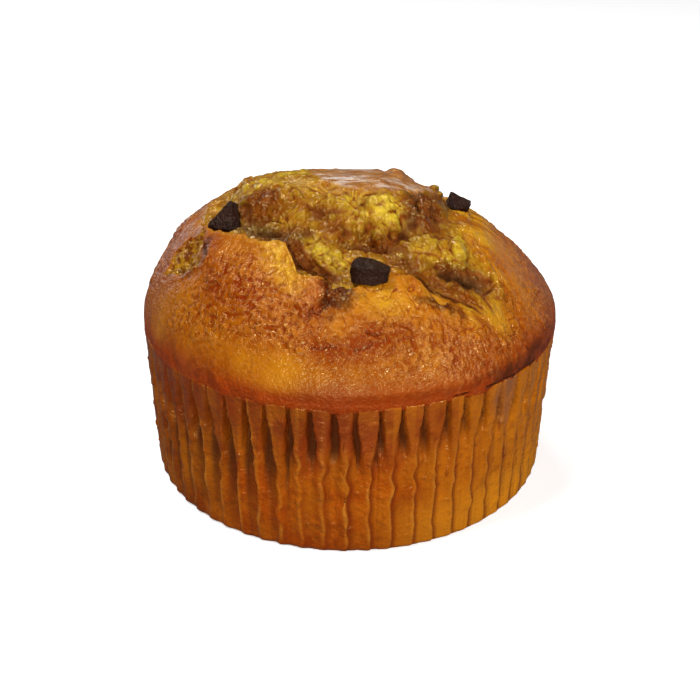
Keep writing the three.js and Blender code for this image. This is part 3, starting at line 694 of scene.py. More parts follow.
material, nodes, shader, place = new_material("buttered_crust", 0.5, BUTTER_SHINE)
large = mottling(nodes, place, 120.0, 850.0)
small = mottling(nodes, place, 480.0, 1900.0)
grainy = nodes.times(nodes.mask("blistered"), 0.95, 0.28)
grainy = nodes.times(grainy, nodes.share(nodes.mask("calm"), -0.65, 1.0))
# Pale along the grain's veins, which the bump raises: the crust's own mottling and a painted highlight.
crest_sheen = nodes.times(large["Veins"], grainy)
dips = nodes.times(nodes.share(large["Grains"], -1.8, 0.9), grainy)
speckled = nodes.blend(nodes.share(large["Grains"], 1.6, -0.3), SPLIT_BROWN, SPLIT_OLIVE)
yolk = nodes.times(nodes.mask("yolky"), nodes.times(large["Grains"], 0.7, 0.3))
patchy = nodes.times(small["Blotches"], 0.4, -0.2)
# Dark brown where the crust browned, and painted shade beside the fold of the left lobe.
brown = nodes.ramp(nodes.times(nodes.mask("browned"), 1.0, patchy), 0.1, 1.1)
nodes.feed(shader, "Base Color", nodes.paint(CRUST_ORANGE, [
    (large["Blotches"], 1, 0, CRUST_AMBER),
    (small["Blotches"], 0.3, 0, CRUST_RED),
    ("rim", 0.85, 0, RIM_ORANGE),
    ("golden", 0.6, 0, CRUST_GOLD),
    ("rosy", 0.5, 0, CRUST_ROSE),
    # Pale on the crests of the strokes, partly a painted highlight, and red between them.
    ("strokes", 0.7, 0, CRUST_CREST_SHEEN),
    ("strokes", -0.7, 0, CRUST_RED),
    (crest_sheen, 0.85, 0, CRUST_CREST_SHEEN),
    ("reddened", 0.8, 0, CRUST_RED),
    (dips, 1.3, 0, CRUST_RED),
    ("golden", 0.6, 0, CRUST_GOLD),
    # Painted shade: dark red where the relief sinks. Painted light: amber where it stands up.
    ("hollow", 0.9, 0, CRUST_RED),
    ("hollow", -0.5, 0, CRUST_AMBER),
    ("tear", 1.25, nodes.times(small["Grains"], -0.25), TORN_GOLD),
    ("strings", 0.8, 0, STRING_YELLOW),
    ("strings", -0.7, 0, CRUST_RED),
    ("split", 1, 0, speckled),
    (yolk, 0.9, 0, STRING_YELLOW),
    # Painted shade in the cracks: red at their edges and dark brown in their depth.
    ("crack", 0.85, 0, CRACK_SHADE_RED),
    ("crack", 1.4, -0.9, CRUST_BROWN),
    (brown, 1, 0, CRUST_BROWN),
]))
glossy = nodes.times(small["Grains"], 0.16, 0.15)
nodes.feed(shader, "Roughness", nodes.share(nodes.mask("rim"), 0.24, glossy))
wrinkly = nodes.times(large["Veins"], 0.7, large["Grains"])
grain_height = nodes.times(nodes.mask("rim"), -0.12, 0.2)
grain_height = nodes.times(nodes.mask("blistered"), 0.65, grain_height)
grain_height = nodes.times(grain_height, nodes.share(nodes.mask("calm"), -0.6, 1.0))
relief_height = nodes.times(small["Grains"], 0.3, nodes.times(wrinkly, grain_height))
nodes.feed(shader, "Normal", nodes.bump(relief_height, 0.0002))
crust.data.materials.append(material)
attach(crust, "root")
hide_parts("cake")

# ---------------------------------------------------------------------------------------------
# Crumb: the soft inside that pushed up through the tear, yellow with egg and butter, in lumps,
# strings and pits, with the crown's own patch of baked skin still on top of it.
# ---------------------------------------------------------------------------------------------

UP_THE_SLOPE = np.array([0, 0.46, 0.89])
CRUMB_AROUND = 720
CRUMB_ROWS = 128
# How far it reaches under the crust, the hole left in the middle, and how rows crowd to the edge.
UNDER_CRUST = 1.3
MIDDLE = 0.004
CROWDED = 0.8
# The hidden walls under it: how far they go down and in, and the height of their foot.
FLOOR_DEPTH = 3
FLOOR_SHARE = 0.97
CRUMB_FOOT = 36
# How far the dark and the grey patches fade out.
WIDE_SPREAD = 1.7

# The crumb's relief: height, size and seed of each layer of bumps or ridges. All but the swells,
# the frays, the skin and what melted are bent out of true first.
BEND, BEND_SIZE, BEND_SEEDS = 0.5, 2.2, (21, 22, 23)
CRUMB_SWELLS = [(0.45, 3.4, 9)]
CRUMB_RIDGES = [(0.24, 3.6, 11), (-0.1, 1.9, 12), (0.1, 0.8, 13)]
CRUMB_MEAN = 0.08
LEDGES = [(2.4, 4.2, 18), (0.6, 1.5, 19)]
LEDGE_HEIGHT = 0.42
VEIN_DEPTH = 0.2
PIT_SIZE, PIT_SEED, PIT_DEPTH = 1.3, 14, 0.4
HOLLOW_DEPTH = 0.3
LUMP_FRAY = [(0.34, 1.7, 17), (0.26, 0.9, 24)]
SKIN_SWELLS = [(0.16, 1.8, 16), (0.06, 0.7, 44)]
SKIN_PROUD = 0.05
MELTED_SWELLS = [(0.25, 1.6, 46)]
SHATTER_STEP, SHATTER_SIZE, SHATTER_SEED = 0.16, 1.5, 41
SHATTER_GRAIN = [(0.1, 0.7, 42)]
FISSURE_SIZE, FISSURE_SEED, FISSURE_DEPTH = 1.9, 43, 0.22

CROWN_Z = 54.5
CROWN_FLAT = (-5, 7.5)
# How fast the crown falls to the left, to the right at first and further on, and back and front.
FALL_LEFT, FALL_RIGHT, FALL_RIGHT_ON, FALL_BACK = 0.0105, 0.28, 0.018, 0.024
CROWN_FRAY = 4
FACE_CURVE = 1.35
# The crown's edge, round the tear's centre: radius by azimuth.
CROWN_EDGE = [
    (0, 18), (17, 17.2), (45, 14.1), (85, 12), (127, 13.2), (161, 15.3), (183, 17), (204, 17),
    (216, 14.3), (229, 10.6), (247, 7.6), (278, 7.3), (300, 9.9), (318, 12.7), (332, 14.8), (346, 16.5),
]
# How far under the crust's edge the crumb's floor starts, by azimuth.
FLOOR_DROP = [
    (0, 0.7), (40, 1.3), (160, 0.9), (190, 1.2), (215, 1.4), (246, 1.3), (262, 0.9), (335, 0.7),
]
# How steeply the floor sinks on the way in from that edge, by azimuth.
FLOOR_SINK = [
    (0, 0.1), (60, 0.25), (200, 0.33), (225, 0.4), (287, 0.38), (300, 0.14), (314, 0.06), (335, 0.08),
]
# Where the face meets the floor, as a share of the way from crown to crust, by azimuth.
FACE_FOOT = [
    (0, 0.5), (60, 0.6), (200, 0.5), (225, 0.45), (250, 0.5), (290, 0.46), (305, 0.34), (325, 0.36),
]
# The crown's baked skin, which the tear left whole, in plan.
CROWN_SKIN = [
    (-7.6, 4), (-6.5, -0.5), (-3.5, -3), (-0.6, -5), (3.6, -6.1), (9.6, -4.8), (12.5, -3), (15, 0),
    (15.4, 5), (12, 8), (9.5, 10), (4, 13), (-4, 12), (-8, 9),
]
# A painted sheen on the skin, pale in streaks: x, y, z, radius, strength.
SKIN_SHEEN = [
    (0.6, -2.5, 54.3, 1.1, 0.8), (6.4, -4, 54, 1.2, 0.7), (10, -2.7, 52.9, 0.9, 0.7),
    (-3.3, -0.6, 54.5, 0.9, 0.6), (11.6, 5.4, 51.7, 1.1, 0.7), (13.6, 1.5, 51.5, 1.1, 0.7),
    (14.9, -3.2, 51.3, 1.1, 0.6), (16.3, -3.6, 49.8, 0.9, 0.5), (-2.4, -2.2, 54.2, 1.4, 1),
    (1.2, -1.6, 54.4, 1.6, 1), (-5, -0.7, 54.5, 1.1, 0.8), (5.5, -2.5, 54.3, 1.4, 0.7),
    (9.1, -0.7, 53.4, 1.1, 0.6), (-0.6, -4.7, 54, 0.9, 0.6), (11.8, -1.2, 52.5, 1.1, 0.6),
    (2, 6, 54, 3, 0.7),
]
# Recesses that the light doesn't reach: x, y, half-length, half-width, turn in degrees, height.
RECESSES = [
    (11.7, -7.4, 0.8, 3, 10, -0.9), (-6.4, -21.8, 3.8, 0.9, -37, -1.1),
    (14.6, -4.2, 1.5, 2.8, 20, -1.1), (13.4, 4.6, 2, 3.4, 20, -0.9), (17.6, 5.5, 1.9, 8, 4, -3.2),
    (-17, 8.6, 1, 2, -30, -0.7), (3, -15.8, 5.8, 1.6, -2, -1.6), (-14.5, -13.4, 5.6, 1.6, -14, -1.4),
    (-15.6, -5.4, 1.6, 0.9, 40, -0.5), (9.4, -12.6, 0.9, 3, 20, -0.8), (14, -17.6, 3, 0.9, 10, -0.5),
    (-6, -14.2, 2.8, 1, -40, -0.5), (19, -17.6, 5.8, 2.1, 10, -1.3), (-0.2, -13.2, 1, 1.6, 0, -0.3),
    (-4.6, -10.6, 0.8, 2, 0, -0.3),
]
# Lumps that tore apart from one another: x, y, z, half-width, half-height up the slope, turn in
# degrees, height.
LUMPS = [
    (-8.6, -17.8, 49, 0.9, 0.9, 0, 0.5), (-5.9, -16.4, 49, 0.9, 0.8, 0, 0.5),
    (16.1, -17.8, 43.8, 1, 0.6, 0, 0.6), (17.9, -17.5, 42.6, 1.1, 0.6, 0, 0.6),
    (19.8, -17.4, 41.4, 1, 0.6, 0, 0.6), (21.5, -16.7, 42, 0.8, 0.6, 0, 0.5),
    (17.4, -18.5, 41.5, 0.8, 0.4, 0, 0.5), (-13.1, -8.1, 51.2, 5, 3.8, 0, 0.96),
    (-8.8, -10, 50.6, 2.4, 2.7, 0, 0.64), (5.5, -11.3, 50.7, 4.1, 3.7, 0, 1.04),
    (-4, -8.8, 52.3, 2.1, 1.7, 0, 0.48), (-0.4, -9.2, 52.5, 2, 1.5, 0, 0.48),
    (-2.4, -12.1, 50.3, 2.4, 1.4, 0, 0.48), (1.8, -12.1, 49.4, 1.4, 1.7, 0, 0.56),
    (12.2, -7.7, 51.6, 2.6, 3.3, 0, 0.64), (11.7, -14.7, 47.4, 2.9, 1.5, 0, 0.72),
    (8.1, -17.8, 46.1, 1.5, 0.8, 0, 0.48), (-2.8, -20.2, 47.1, 3.3, 2.5, -10, 0.56),
    (-8.3, -17.4, 49, 1.7, 1.3, 0, 0.64), (-6.2, -25.3, 47, 1.4, 0.8, 0, 0.4),
    (18.9, -12.4, 45.9, 1.4, 2.4, 10, 0.5), (20.1, -6.1, 46.8, 0.9, 1.1, 0, 0.3),
    (17.4, -16.5, 44.1, 2.4, 0.8, -10, 0.64), (24.9, -17.3, 40.6, 1.4, 1.9, 0, 0.4),
    (17.3, -19.9, 40.3, 2.3, 0.8, -8, 0.48), (-27.6, -12.1, 42.8, 1.2, 1.2, 0, 0.48),
    (-15.2, -1.8, 53.4, 1.8, 0.9, 25, 0.4), (-10.8, 0.8, 54.2, 2.1, 0.9, 12, 0.4),
    (15.5, 4.7, 50.2, 0.7, 0.6, 0, 0.7), (16.6, 2.2, 50, 0.6, 0.5, 0, 0.7),
    (11.5, 8.7, 50.8, 1.2, 0.8, 0, 0.42), (-19.2, 5.4, 51.3, 1.5, 1, 20, 0.8),
    (-13.2, 12.4, 51.2, 2, 1, 10, 0.6), (-18.3, 0.7, 52.7, 1, 0.7, 30, 0.42),
    (-21.6, 0.7, 50.9, 1, 0.7, 30, 0.36), (-8.3, 3.9, 54.1, 0.9, 0.5, 0, 0.3),
    (14, -1.5, 51.6, 1.6, 1.2, 0, 0.4), (13.2, -5.6, 51.8, 1.4, 1.4, 0, 0.4),
]
# Where the crumb pulled out into strings: x, y, z, radius, strength.
STRINGY = [
    (18.1, -16.4, 43.9, 1.2, 1), (13.4, -22.1, 43.1, 1.1, 1), (14.7, -23.1, 41.8, 1, 0.8),
    (11, -6, 51.9, 1.4, 1), (11.6, -9.4, 51, 1.2, 0.9), (13.5, -5.4, 51.7, 1, 0.7),
    (19.8, -17.6, 41.6, 1.7, 1), (16.4, -18, 43.2, 1.4, 1), (-14.9, -9.1, 49.2, 1.6, 1),
    (-10.9, -11.1, 49.5, 1.5, 0.8), (17.8, -17.7, 43, 1.7, 1), (-15.9, -17.3, 49.7, 1.5, 0.8),
    (-13.3, -18.8, 49.7, 1.2, 0.8), (11, -18.8, 45.5, 1.5, 0.6),
]
# Bubbles that set before they burst: x, y, radius.
BUBBLES = [
    (26.1, -18.2, 0.9), (-6, -12.6, 1.1), (-2.9, -11.6, 0.8), (-1.5, -13.2, 0.7), (1.9, -12.8, 0.7),
    (4.7, -13.4, 0.8), (7.7, -12.9, 0.7), (-3.5, -21, 0.8), (14.4, -15, 0.9), (16.6, -12, 0.7),
    (-18.5, -8, 0.7),
]
# Patches of the crumb, each a soft ball: x, y, z, radius, strength. Baked dark, and painted shade
# where they are sunken:
DARK_AND_SHADED_CRUMB = [
    (21.5, -21.7, 39.5, 1.3, 0.35), (22.2, -23.6, 37.7, 1.2, 0.35), (21.2, -17.5, 40.7, 1, 0.3),
    (-25.6, 3.9, 48, 1.1, 0.35), (-0.4, -6.5, 53.5, 0.4, 0.6), (3.7, -12.2, 49.1, 0.7, 0.6),
    (-2.2, -20.8, 46.5, 1, 0.4), (8.2, -18.6, 45.6, 1.2, 0.4), (10.1, -20.8, 44.7, 1.1, 0.4),
    (-0.6, -16.5, 46.5, 1, 0.3), (4.5, -15, 46.2, 1.3, 0.4), (6.8, -21.3, 44.4, 0.8, 0.4),
    (21.8, -18, 40.2, 1.7, 0.6), (23.8, -19.4, 39.2, 1.3, 0.6), (19.6, -17, 42.3, 1.2, 0.4),
    (-14.8, -9.9, 48.2, 1.2, 0.5), (-11.9, -13.5, 48.7, 1.2, 0.6), (-9.5, -13.4, 49, 1, 0.6),
    (-6.8, -14, 49.1, 1, 0.6), (-4.3, -17.9, 48.7, 0.8, 0.4), (-13.8, -8.9, 49.7, 1.2, 0.4),
    (-9.4, -19, 48.4, 0.7, 1), (-8.4, -20.3, 47.9, 0.7, 1), (-7.2, -21.4, 47.6, 0.7, 1),
    (-6, -22.3, 47.3, 0.7, 1), (-4.9, -23.6, 47, 0.7, 1), (-3.7, -23.9, 46.4, 0.7, 1),
    (-2.6, -24, 45.8, 0.6, 1), (-7.3, -18.2, 48.6, 0.4, 0.8), (-6.8, -19.3, 48, 0.5, 0.8),
    (12.2, -21.7, 43.9, 0.8, 0.9), (13.4, -22.2, 43, 0.8, 1), (14.5, -23, 42.1, 0.8, 1),
    (15.7, -23.3, 41, 0.8, 0.9), (16.8, -25, 41, 0.6, 0.8), (19.4, -22, 40.8, 0.5, 0.8),
    (20.7, -22.2, 39.9, 0.5, 0.8), (22.1, -22, 39, 0.5, 0.8), (23.5, -22.1, 38.1, 0.5, 0.8),
    (24.6, -22.8, 37.5, 0.5, 0.8), (17.4, -18.3, 41.8, 1, 0.7), (19.5, -17.6, 41.1, 1, 0.8),
    (21.5, -17.7, 40.5, 0.8, 0.7), (16.8, 2.5, 49.9, 0.7, 0.8), (17.2, -0.2, 49.3, 0.7, 1),
    (13.8, -5.8, 51.3, 1, 1), (14.9, -6.2, 50.2, 1, 0.9), (15.9, -1.6, 50.4, 0.9, 0.9),
    (14.2, -21.7, 43, 1.1, 0.7), (17, -19.8, 40.7, 1.2, 0.6), (19.8, -18.4, 39.7, 1.2, 0.6),
    (7.7, -19.6, 44.9, 1.3, 0.5), (10.1, -21.5, 44.5, 1.3, 0.5), (6.2, -15.1, 46.3, 1.2, 0.4),
    (0.3, -26, 47.3, 1, 0.5), (-2.1, -25, 45.1, 1, 0.5), (23.2, -15.9, 42, 1, 0.5),
    (11.3, -23.3, 43, 1.1, 0.7), (13.3, -24, 42.2, 1.1, 0.6), (15.8, -22.9, 41.3, 1.1, 0.6),
    (18.1, -22.4, 40.4, 1.2, 0.6), (20.1, -22.2, 40.3, 1.2, 0.6), (22.4, -19.5, 39.1, 1.3, 0.5),
    (24.2, -18.8, 39.5, 1, 0.4), (13.3, -5.6, 51.7, 1, 0.8), (14.5, -6.3, 50.5, 1, 0.7),
    (11.9, -9.3, 50.9, 0.9, 0.6), (-8, -15.9, 49.3, 1, 0.6), (-10.7, -16.1, 48.8, 0.8, 0.8),
    (-8.6, -18.8, 48.5, 0.7, 1), (-7.9, -20, 47.9, 0.8, 1), (-6.8, -21.7, 47.6, 0.8, 1),
    (-5.7, -23.1, 47.1, 0.8, 1), (-4.5, -24, 46.5, 0.6, 1), (15.3, -18, 44.2, 1, 0.6),
    (17, -17.8, 42.9, 1.2, 0.7), (19.1, -17.5, 41.5, 1.2, 0.7), (21.4, -17.7, 40.5, 1.2, 0.6),
    (23.5, -18.5, 40.1, 0.8, 0.6), (16.9, -6.3, 48.3, 1.4, 0.45), (19.1, -1.3, 47.8, 1.3, 0.4),
    (14.5, -10.4, 48.4, 1.2, 0.45), (12.1, -14.2, 47.7, 1, 0.3), (20.1, -4.5, 46.9, 1.1, 0.4),
    (-16.8, -5.3, 51.7, 1.2, 0.7), (-15, -5, 52.3, 1, 0.6), (-17.1, -6.9, 49.7, 1, 0.6),
    (-11.2, -9, 50.6, 1, 0.5), (-14.9, -7.1, 51.4, 1.6, 0.7), (-16, -7.4, 50.2, 1.4, 0.7),
    (-13.5, -6.9, 52.2, 1, 0.8), (-8.3, -8.6, 51.9, 1.4, 0.5), (-4.8, -10.4, 50.8, 1.4, 0.5),
    (-3.1, -13, 49.4, 1.3, 0.6), (-0.6, -13.6, 48.4, 1.2, 0.5), (2, -8.8, 52, 1, 0.5),
    (12, -7.8, 51.6, 1.2, 0.8), (13, -9.4, 50.4, 1.2, 0.7), (11.5, -10.6, 49.6, 1, 0.7),
    (14.2, -6, 51, 0.9, 0.7), (15.8, -1, 50.5, 0.7, 0.6), (-8.9, -22.3, 48, 0.9, 1),
    (-7.7, -23.9, 47.8, 0.8, 1), (-10.6, -20.1, 49.3, 0.8, 1), (-6.4, -24.1, 47, 0.5, 0.9),
    (-5, -24.9, 46.5, 0.5, 0.9), (-3.7, -25.1, 45.5, 0.5, 0.9), (10.5, -23.5, 43.2, 1, 0.8),
    (12.5, -23.8, 42.5, 1, 0.8), (14.4, -25, 41.9, 0.8, 0.6), (9.2, -22.9, 44.2, 0.8, 0.5),
    (18.4, -17.4, 42.3, 1.2, 0.7), (16.5, -17.8, 43.4, 0.8, 0.4), (20.5, -17.4, 41, 0.9, 0.7),
    (-13.4, -5.6, 52.7, 1, 0.9), (-14.9, -7.5, 51.2, 1.9, 0.5), (-18, -6.4, 49.3, 0.7, 0.9),
    (-16.2, -17.4, 49.7, 1.5, 0.6), (-13.1, -14.7, 48.3, 1.5, 0.7), (-9.5, -19.2, 48.3, 1, 0.9),
    (-7.8, -21.5, 47.5, 1, 1), (-6.2, -22.8, 47, 0.8, 1), (-4.5, -23.9, 46.6, 0.8, 1),
    (-3.1, -24.5, 45.8, 0.8, 0.9), (-7.5, -25.2, 47, 0.6, 0.8), (-0.6, -16, 46.6, 1.3, 0.7),
    (3, -15.1, 46.4, 1.8, 0.9), (7.3, -15, 46.8, 1.5, 0.9), (8.9, -13.9, 48, 1, 0.8),
    (12.5, -5, 52.1, 2.1, 0.7), (14.9, -5.2, 50.9, 1.6, 0.7), (10.7, -10.2, 50.5, 1.4, 0.6),
    (13.3, -10.7, 48.9, 1.9, 0.55), (15.9, -10.1, 47.6, 1.4, 0.4), (10.7, -19, 45.6, 1.8, 0.5),
    (16.1, -18.5, 42.8, 1.3, 0.5), (18.8, -17.7, 41.4, 1.3, 0.8), (21.7, -17.8, 40.5, 1.3, 0.8),
    (14.7, -22.6, 42.3, 1, 0.8), (12.7, -22.3, 43.2, 1, 0.6), (16.7, -23, 40.8, 1.1, 0.5),
    (-3, -9.4, 52.2, 1.4, 0.4), (-5.3, -9.8, 50.9, 0.7, 0.7), (-0.6, -12.4, 49.9, 1.2, 0.4),
    (15, 10, 48, 3, 0.6), (-10, 18, 47, 3, 0.6),
]
# Bright with egg, and a painted highlight on the fibres at the pit's upper lip:
BRIGHT_CRUMB = [
    (17.1, -16.2, 44.5, 0.8, 0.7), (19.2, -15.7, 44, 0.8, 0.8), (21, -15.4, 42.9, 0.7, 0.7),
    (25.1, -17.7, 40.1, 0.7, 0.6), (7.4, -10, 52.4, 1.5, 0.7), (8.1, -11.3, 50.4, 1.4, 0.7),
    (5.3, -13.8, 47.6, 1, 0.4), (13, -13.1, 48, 1.4, 0.5), (15.6, -12.3, 47, 1, 0.4),
    (5, -9.7, 52.7, 1, 0.5), (8.5, -9.6, 52.3, 0.9, 0.6), (8.8, -10.9, 50.4, 0.8, 0.6),
    (14.2, -5.5, 51.2, 0.5, 0.5), (2.3, -7.8, 52.5, 1, 0.8), (2, -10, 51.2, 1, 0.8),
    (3.3, -11.5, 49.9, 1, 0.7), (0.6, -9.2, 52.1, 1, 0.6), (-1.8, -8.4, 52.9, 1, 0.5),
    (-0.6, -10.8, 51.3, 1, 0.4), (16.1, 4.9, 50, 0.5, 0.8), (16.8, 1.9, 49.9, 0.4, 0.8),
    (-8.5, -17.7, 48.9, 0.8, 0.8), (-5.9, -15.6, 48.8, 0.8, 0.8), (-6.9, -24.8, 47.3, 0.8, 0.9),
    (-6.1, -25.5, 46.9, 0.6, 0.8), (23.8, -19.2, 39.3, 1, 0.6), (25.1, -17, 40.7, 1, 0.8),
    (-5, -18.7, 48.3, 0.7, 0.9), (-3.3, -19.7, 47.8, 1, 1), (-1.4, -18.7, 46.7, 1, 1),
    (-0.6, -15.5, 47, 0.8, 0.9), (-4.3, -21.4, 47.4, 0.6, 0.9), (-2.2, -21.3, 46.3, 0.7, 0.8),
    (-18.2, -0.5, 52.7, 1.1, 1), (-21, 1.3, 50.8, 1.1, 1), (-22.6, -0.8, 50.4, 0.9, 0.8),
    (-6.3, -24.4, 47.2, 1.1, 0.8), (-15.4, 0, 53.5, 1.1, 1), (-11.4, 1.8, 54.1, 1.1, 1),
    (-8.7, 3.1, 54.2, 0.9, 0.8), (3.7, -8.4, 52.7, 1.2, 1), (6.2, -10.1, 52.6, 1.5, 1),
    (8.1, -10.7, 51.1, 1.5, 1), (5.4, -12.3, 49.1, 1.5, 0.9), (2.7, -10.5, 51, 1, 0.6),
    (-16.2, -3.4, 52.8, 0.9, 0.9), (-15.3, -1.4, 53.4, 1.1, 0.9), (-13, 0, 53.9, 1.1, 0.8),
    (-10.5, 2.1, 54.1, 1.4, 0.8), (-7.8, 2, 54.4, 0.9, 0.9), (-0.4, -7.7, 53.2, 1, 0.6),
    (-3.5, -7.8, 52.9, 1, 0.5), (-14.8, -9.9, 48.2, 1, 0.6), (-11.6, -12.1, 48.7, 1.2, 0.4),
    (-8.9, -9.9, 50.8, 1, 0.6), (-3.6, -20.4, 47.6, 1.3, 1), (-1.8, -20.7, 46.3, 1.3, 1),
    (-5, -18.9, 48.2, 1, 0.9), (-0.4, -20.3, 45.5, 0.8, 0.8), (-8.1, -17.4, 49, 0.8, 0.8),
    (-5.9, -15.1, 48.8, 1, 0.9), (10.5, -14.5, 47.7, 1, 0.9), (13.1, -13.8, 47.6, 1.2, 0.8),
    (8.6, -17.9, 46.2, 1, 0.7), (20.2, -5.2, 46.8, 0.7, 1), (19.2, -10.7, 46.3, 1, 1),
    (18, -14.4, 45.8, 0.8, 1), (20.1, -12.6, 44.7, 0.9, 0.8), (17.1, -16.4, 44.3, 0.8, 0.9),
    (19.2, -15.6, 44.1, 0.8, 0.9), (24.8, -17.1, 40.9, 1, 1), (26.2, -17, 39.8, 0.8, 0.8),
    (23.2, -15.9, 42, 0.8, 0.6), (-27.2, -12.6, 43.1, 0.9, 1), (-29.3, -9.7, 43, 1, 0.8),
    (-26.5, -10, 45.9, 1, 0.6), (-30, -11.6, 41.5, 0.5, 0.8), (6, 17, 48, 3, 0.8),
    (-15, 14, 49, 3, 0.7),
]
# Dull and greyish, and painted shade in the pit and the recesses:
GREY_AND_SHADED_CRUMB = [
    (15.8, -18.8, 42.9, 0.95, 0.6), (17.9, -18, 41.6, 1.1, 0.7), (19.9, -17.6, 40.6, 1.05, 0.85),
    (21.9, -17.9, 40.2, 1.05, 0.7), (17.5, -1.1, 48.9, 0.7, 1), (16.7, -3.5, 49.4, 0.5, 0.7),
    (11.2, -5.8, 51.8, 0.7, 0.7), (11.4, -9, 51.5, 0.7, 0.7), (11.2, -10, 50.5, 0.7, 0.6),
    (10.5, -11, 49.4, 0.7, 0.6), (9.8, -12.1, 48.5, 0.7, 0.5), (10.6, -4.3, 52.5, 0.85, 0.6),
    (13.1, -6.9, 51.3, 0.5, 0.4), (-17.9, -9.8, 47.7, 1, 1), (-15.1, -12.7, 48.1, 1.05, 1),
    (16.8, 1.9, 49.9, 0.7, 0.75), (17.5, 1.2, 48.7, 0.75, 1), (16.2, -3.3, 50, 0.7, 0.7),
    (15.5, -2.4, 50.8, 0.7, 0.6), (14.6, -5.9, 50.8, 0.7, 0.4), (11.1, -1.2, 52.3, 1.15, 0.65),
    (12.6, -3.6, 52.3, 0.95, 0.65), (-14.2, -12.9, 48.4, 0.95, 1), (-13.4, -13.8, 48.3, 0.95, 0.95),
    (-12.1, -15.5, 48.5, 0.8, 0.9), (-19.2, -9.8, 48.5, 0.8, 1), (-15.9, -10.3, 48, 0.7, 1),
    (-16.6, -11.8, 47.9, 1.1, 1), (-10.3, -16.3, 48.9, 0.8, 0.8), (-8.3, -16.6, 49.2, 0.8, 0.7),
    (-6.4, -13.8, 49, 0.7, 0.5), (-17.8, -15.6, 49.4, 1.2, 1), (-15.2, -18.1, 49.7, 1.15, 0.9),
    (-13.2, -19.5, 49.8, 1.05, 0.65), (-17.9, -5.3, 50.7, 1, 0.4), (15, -7.9, 49.3, 1.6, 0.2),
    (13.7, 3.2, 51.3, 1.3, 0.6), (9.7, -19.9, 45, 1.3, 0.4),
]


def inside_outline(outline, x, y):
    """Distance to an outline, positive inside it: how often a ray crosses it decides the sign."""
    closed = outline + outline[:1]
    distance = near_line(closed, x, y)[0]
    within = np.zeros(x.shape, bool)
    for (ax, ay), (bx, by) in zip(closed, closed[1:]):
        crosses = (ay > y) != (by > y)
        within ^= crosses & (x < (bx - ax) * (y - ay) / (by - ay + 1e-9) + ax)
    return np.where(within, distance, -distance)


def crown_top(x, y):
    """Level in the middle, less a rate times the square of the distance beyond it to each side, and
    to the right less the distance itself times another."""
    left = np.maximum(0, CROWN_FLAT[0] - x)
    right = np.maximum(0, x - CROWN_FLAT[1])
    fall = FALL_LEFT * left**2 + FALL_RIGHT * right + FALL_RIGHT_ON * right**2 + FALL_BACK * y**2
    return CROWN_Z - fall


def torn_heart(turn, radius):
    """Crown, then a face that falls with a power of the share of the way to its foot, then a floor
    at a depth under the dome that grows with the distance in from the crust's edge."""
    degrees = np.degrees(turn) % 360
    x, y = TORN_CENTRE[0] + radius * np.cos(turn), TORN_CENTRE[1] + radius * np.sin(turn)
    crown, crust = round_table(CROWN_EDGE, degrees), round_table(CRUST_EDGE, degrees)
    edge_x, edge_y = TORN_CENTRE[0] + crown * np.cos(turn), TORN_CENTRE[1] + crown * np.sin(turn)
    crown_z = np.minimum(smooth_dome(edge_x, edge_y), crown_top(edge_x, edge_y))
    inside = crust - radius
    flush = (1 - round_table(EDGE_PROUD, degrees)) * smooth(4, 0, inside)
    drop = round_table(FLOOR_DROP, degrees) * (1 - flush) + 0.3 * flush * smooth(1.2, -0.6, inside)
    sink = round_table(FLOOR_SINK, degrees) * np.maximum(inside, 0) + 0.7 * np.maximum(-0.4 - inside, 0)
    floor = smooth_dome(x, y) - drop - sink * (1 - 0.8 * flush)
    down = np.clip((radius - crown) / (crust - crown) / round_table(FACE_FOOT, degrees), 0, 1)
    face = crown_z + (np.minimum(floor, crown_z) - crown_z) * down**FACE_CURVE
    top = np.minimum(smooth_dome(x, y), crown_top(x, y))
    z = np.where(radius <= crown, top, np.minimum(face, smooth_dome(x, y)))
    torn = np.where(radius <= crown, smooth(crown - CROWN_FRAY, crown, radius), 1)
    return x, y, z, torn, inside


turn = front_heavy(CRUMB_AROUND)[None, :]
reach_out = crust_edge(np.degrees(turn) % 360) + UNDER_CRUST
radius = reach_out * np.linspace(1, MIDDLE, CRUMB_ROWS)[:, None] ** CROWDED
x, y, z, torn, inside = torn_heart(turn, radius)
rise, cut = creases(x, y, False)
free = smooth(-0.2, 1.6, inside)

# Recesses are pressed into the torn heart, and the crown's skin is laid out on top.
for rx, ry, long, wide, tilt, high in RECESSES:
    rise = rise + high * smooth(1, 0.1, from_oval(x - rx, y - ry, long, wide, tilt))
heart = np.stack([x, y, z + free * rise], axis=-1)
skin_edge = inside_outline(CROWN_SKIN, x, y) + 0.9 * bumps(x / 1.9, y / 1.9, z / 1.9)
skin = smooth(-0.4, 0.5, skin_edge)
crumbly = free * (1 - 0.9 * skin) * np.maximum(torn, 0.55 * smooth(-7, -9, x))

# Swells, ridges, ledges and veins of the torn crumb, with pits where it is dark.
bent = heart + BEND * np.stack([rough(heart, BEND_SIZE, seed) for seed in BEND_SEEDS], axis=-1)
ledge = layers(bent, LEDGES)
flakes = LEDGE_HEIGHT * (np.floor(ledge) + smooth(0.65, 1, ledge - np.floor(ledge)) - ledge)
veins = smooth(0.14, 0, np.abs(rough(bent, 3, 26)))
veins = np.maximum(veins, 0.3 * smooth(0.2, 0, np.abs(rough(bent, 1.3, 27))))
lumps = layers(heart, CRUMB_SWELLS) + ridges(bent, CRUMB_RIDGES) + flakes
lumps = lumps - VEIN_DEPTH * veins + CRUMB_MEAN
dark = spots(heart, DARK_AND_SHADED_CRUMB, WIDE_SPREAD)
pits = PIT_DEPTH * smooth(0.2, 0.6, rough(bent, PIT_SIZE, PIT_SEED)) * smooth(0.2, 0.8, dark)
pits = pits + HOLLOW_DEPTH * smooth(0.3, 1, dark)

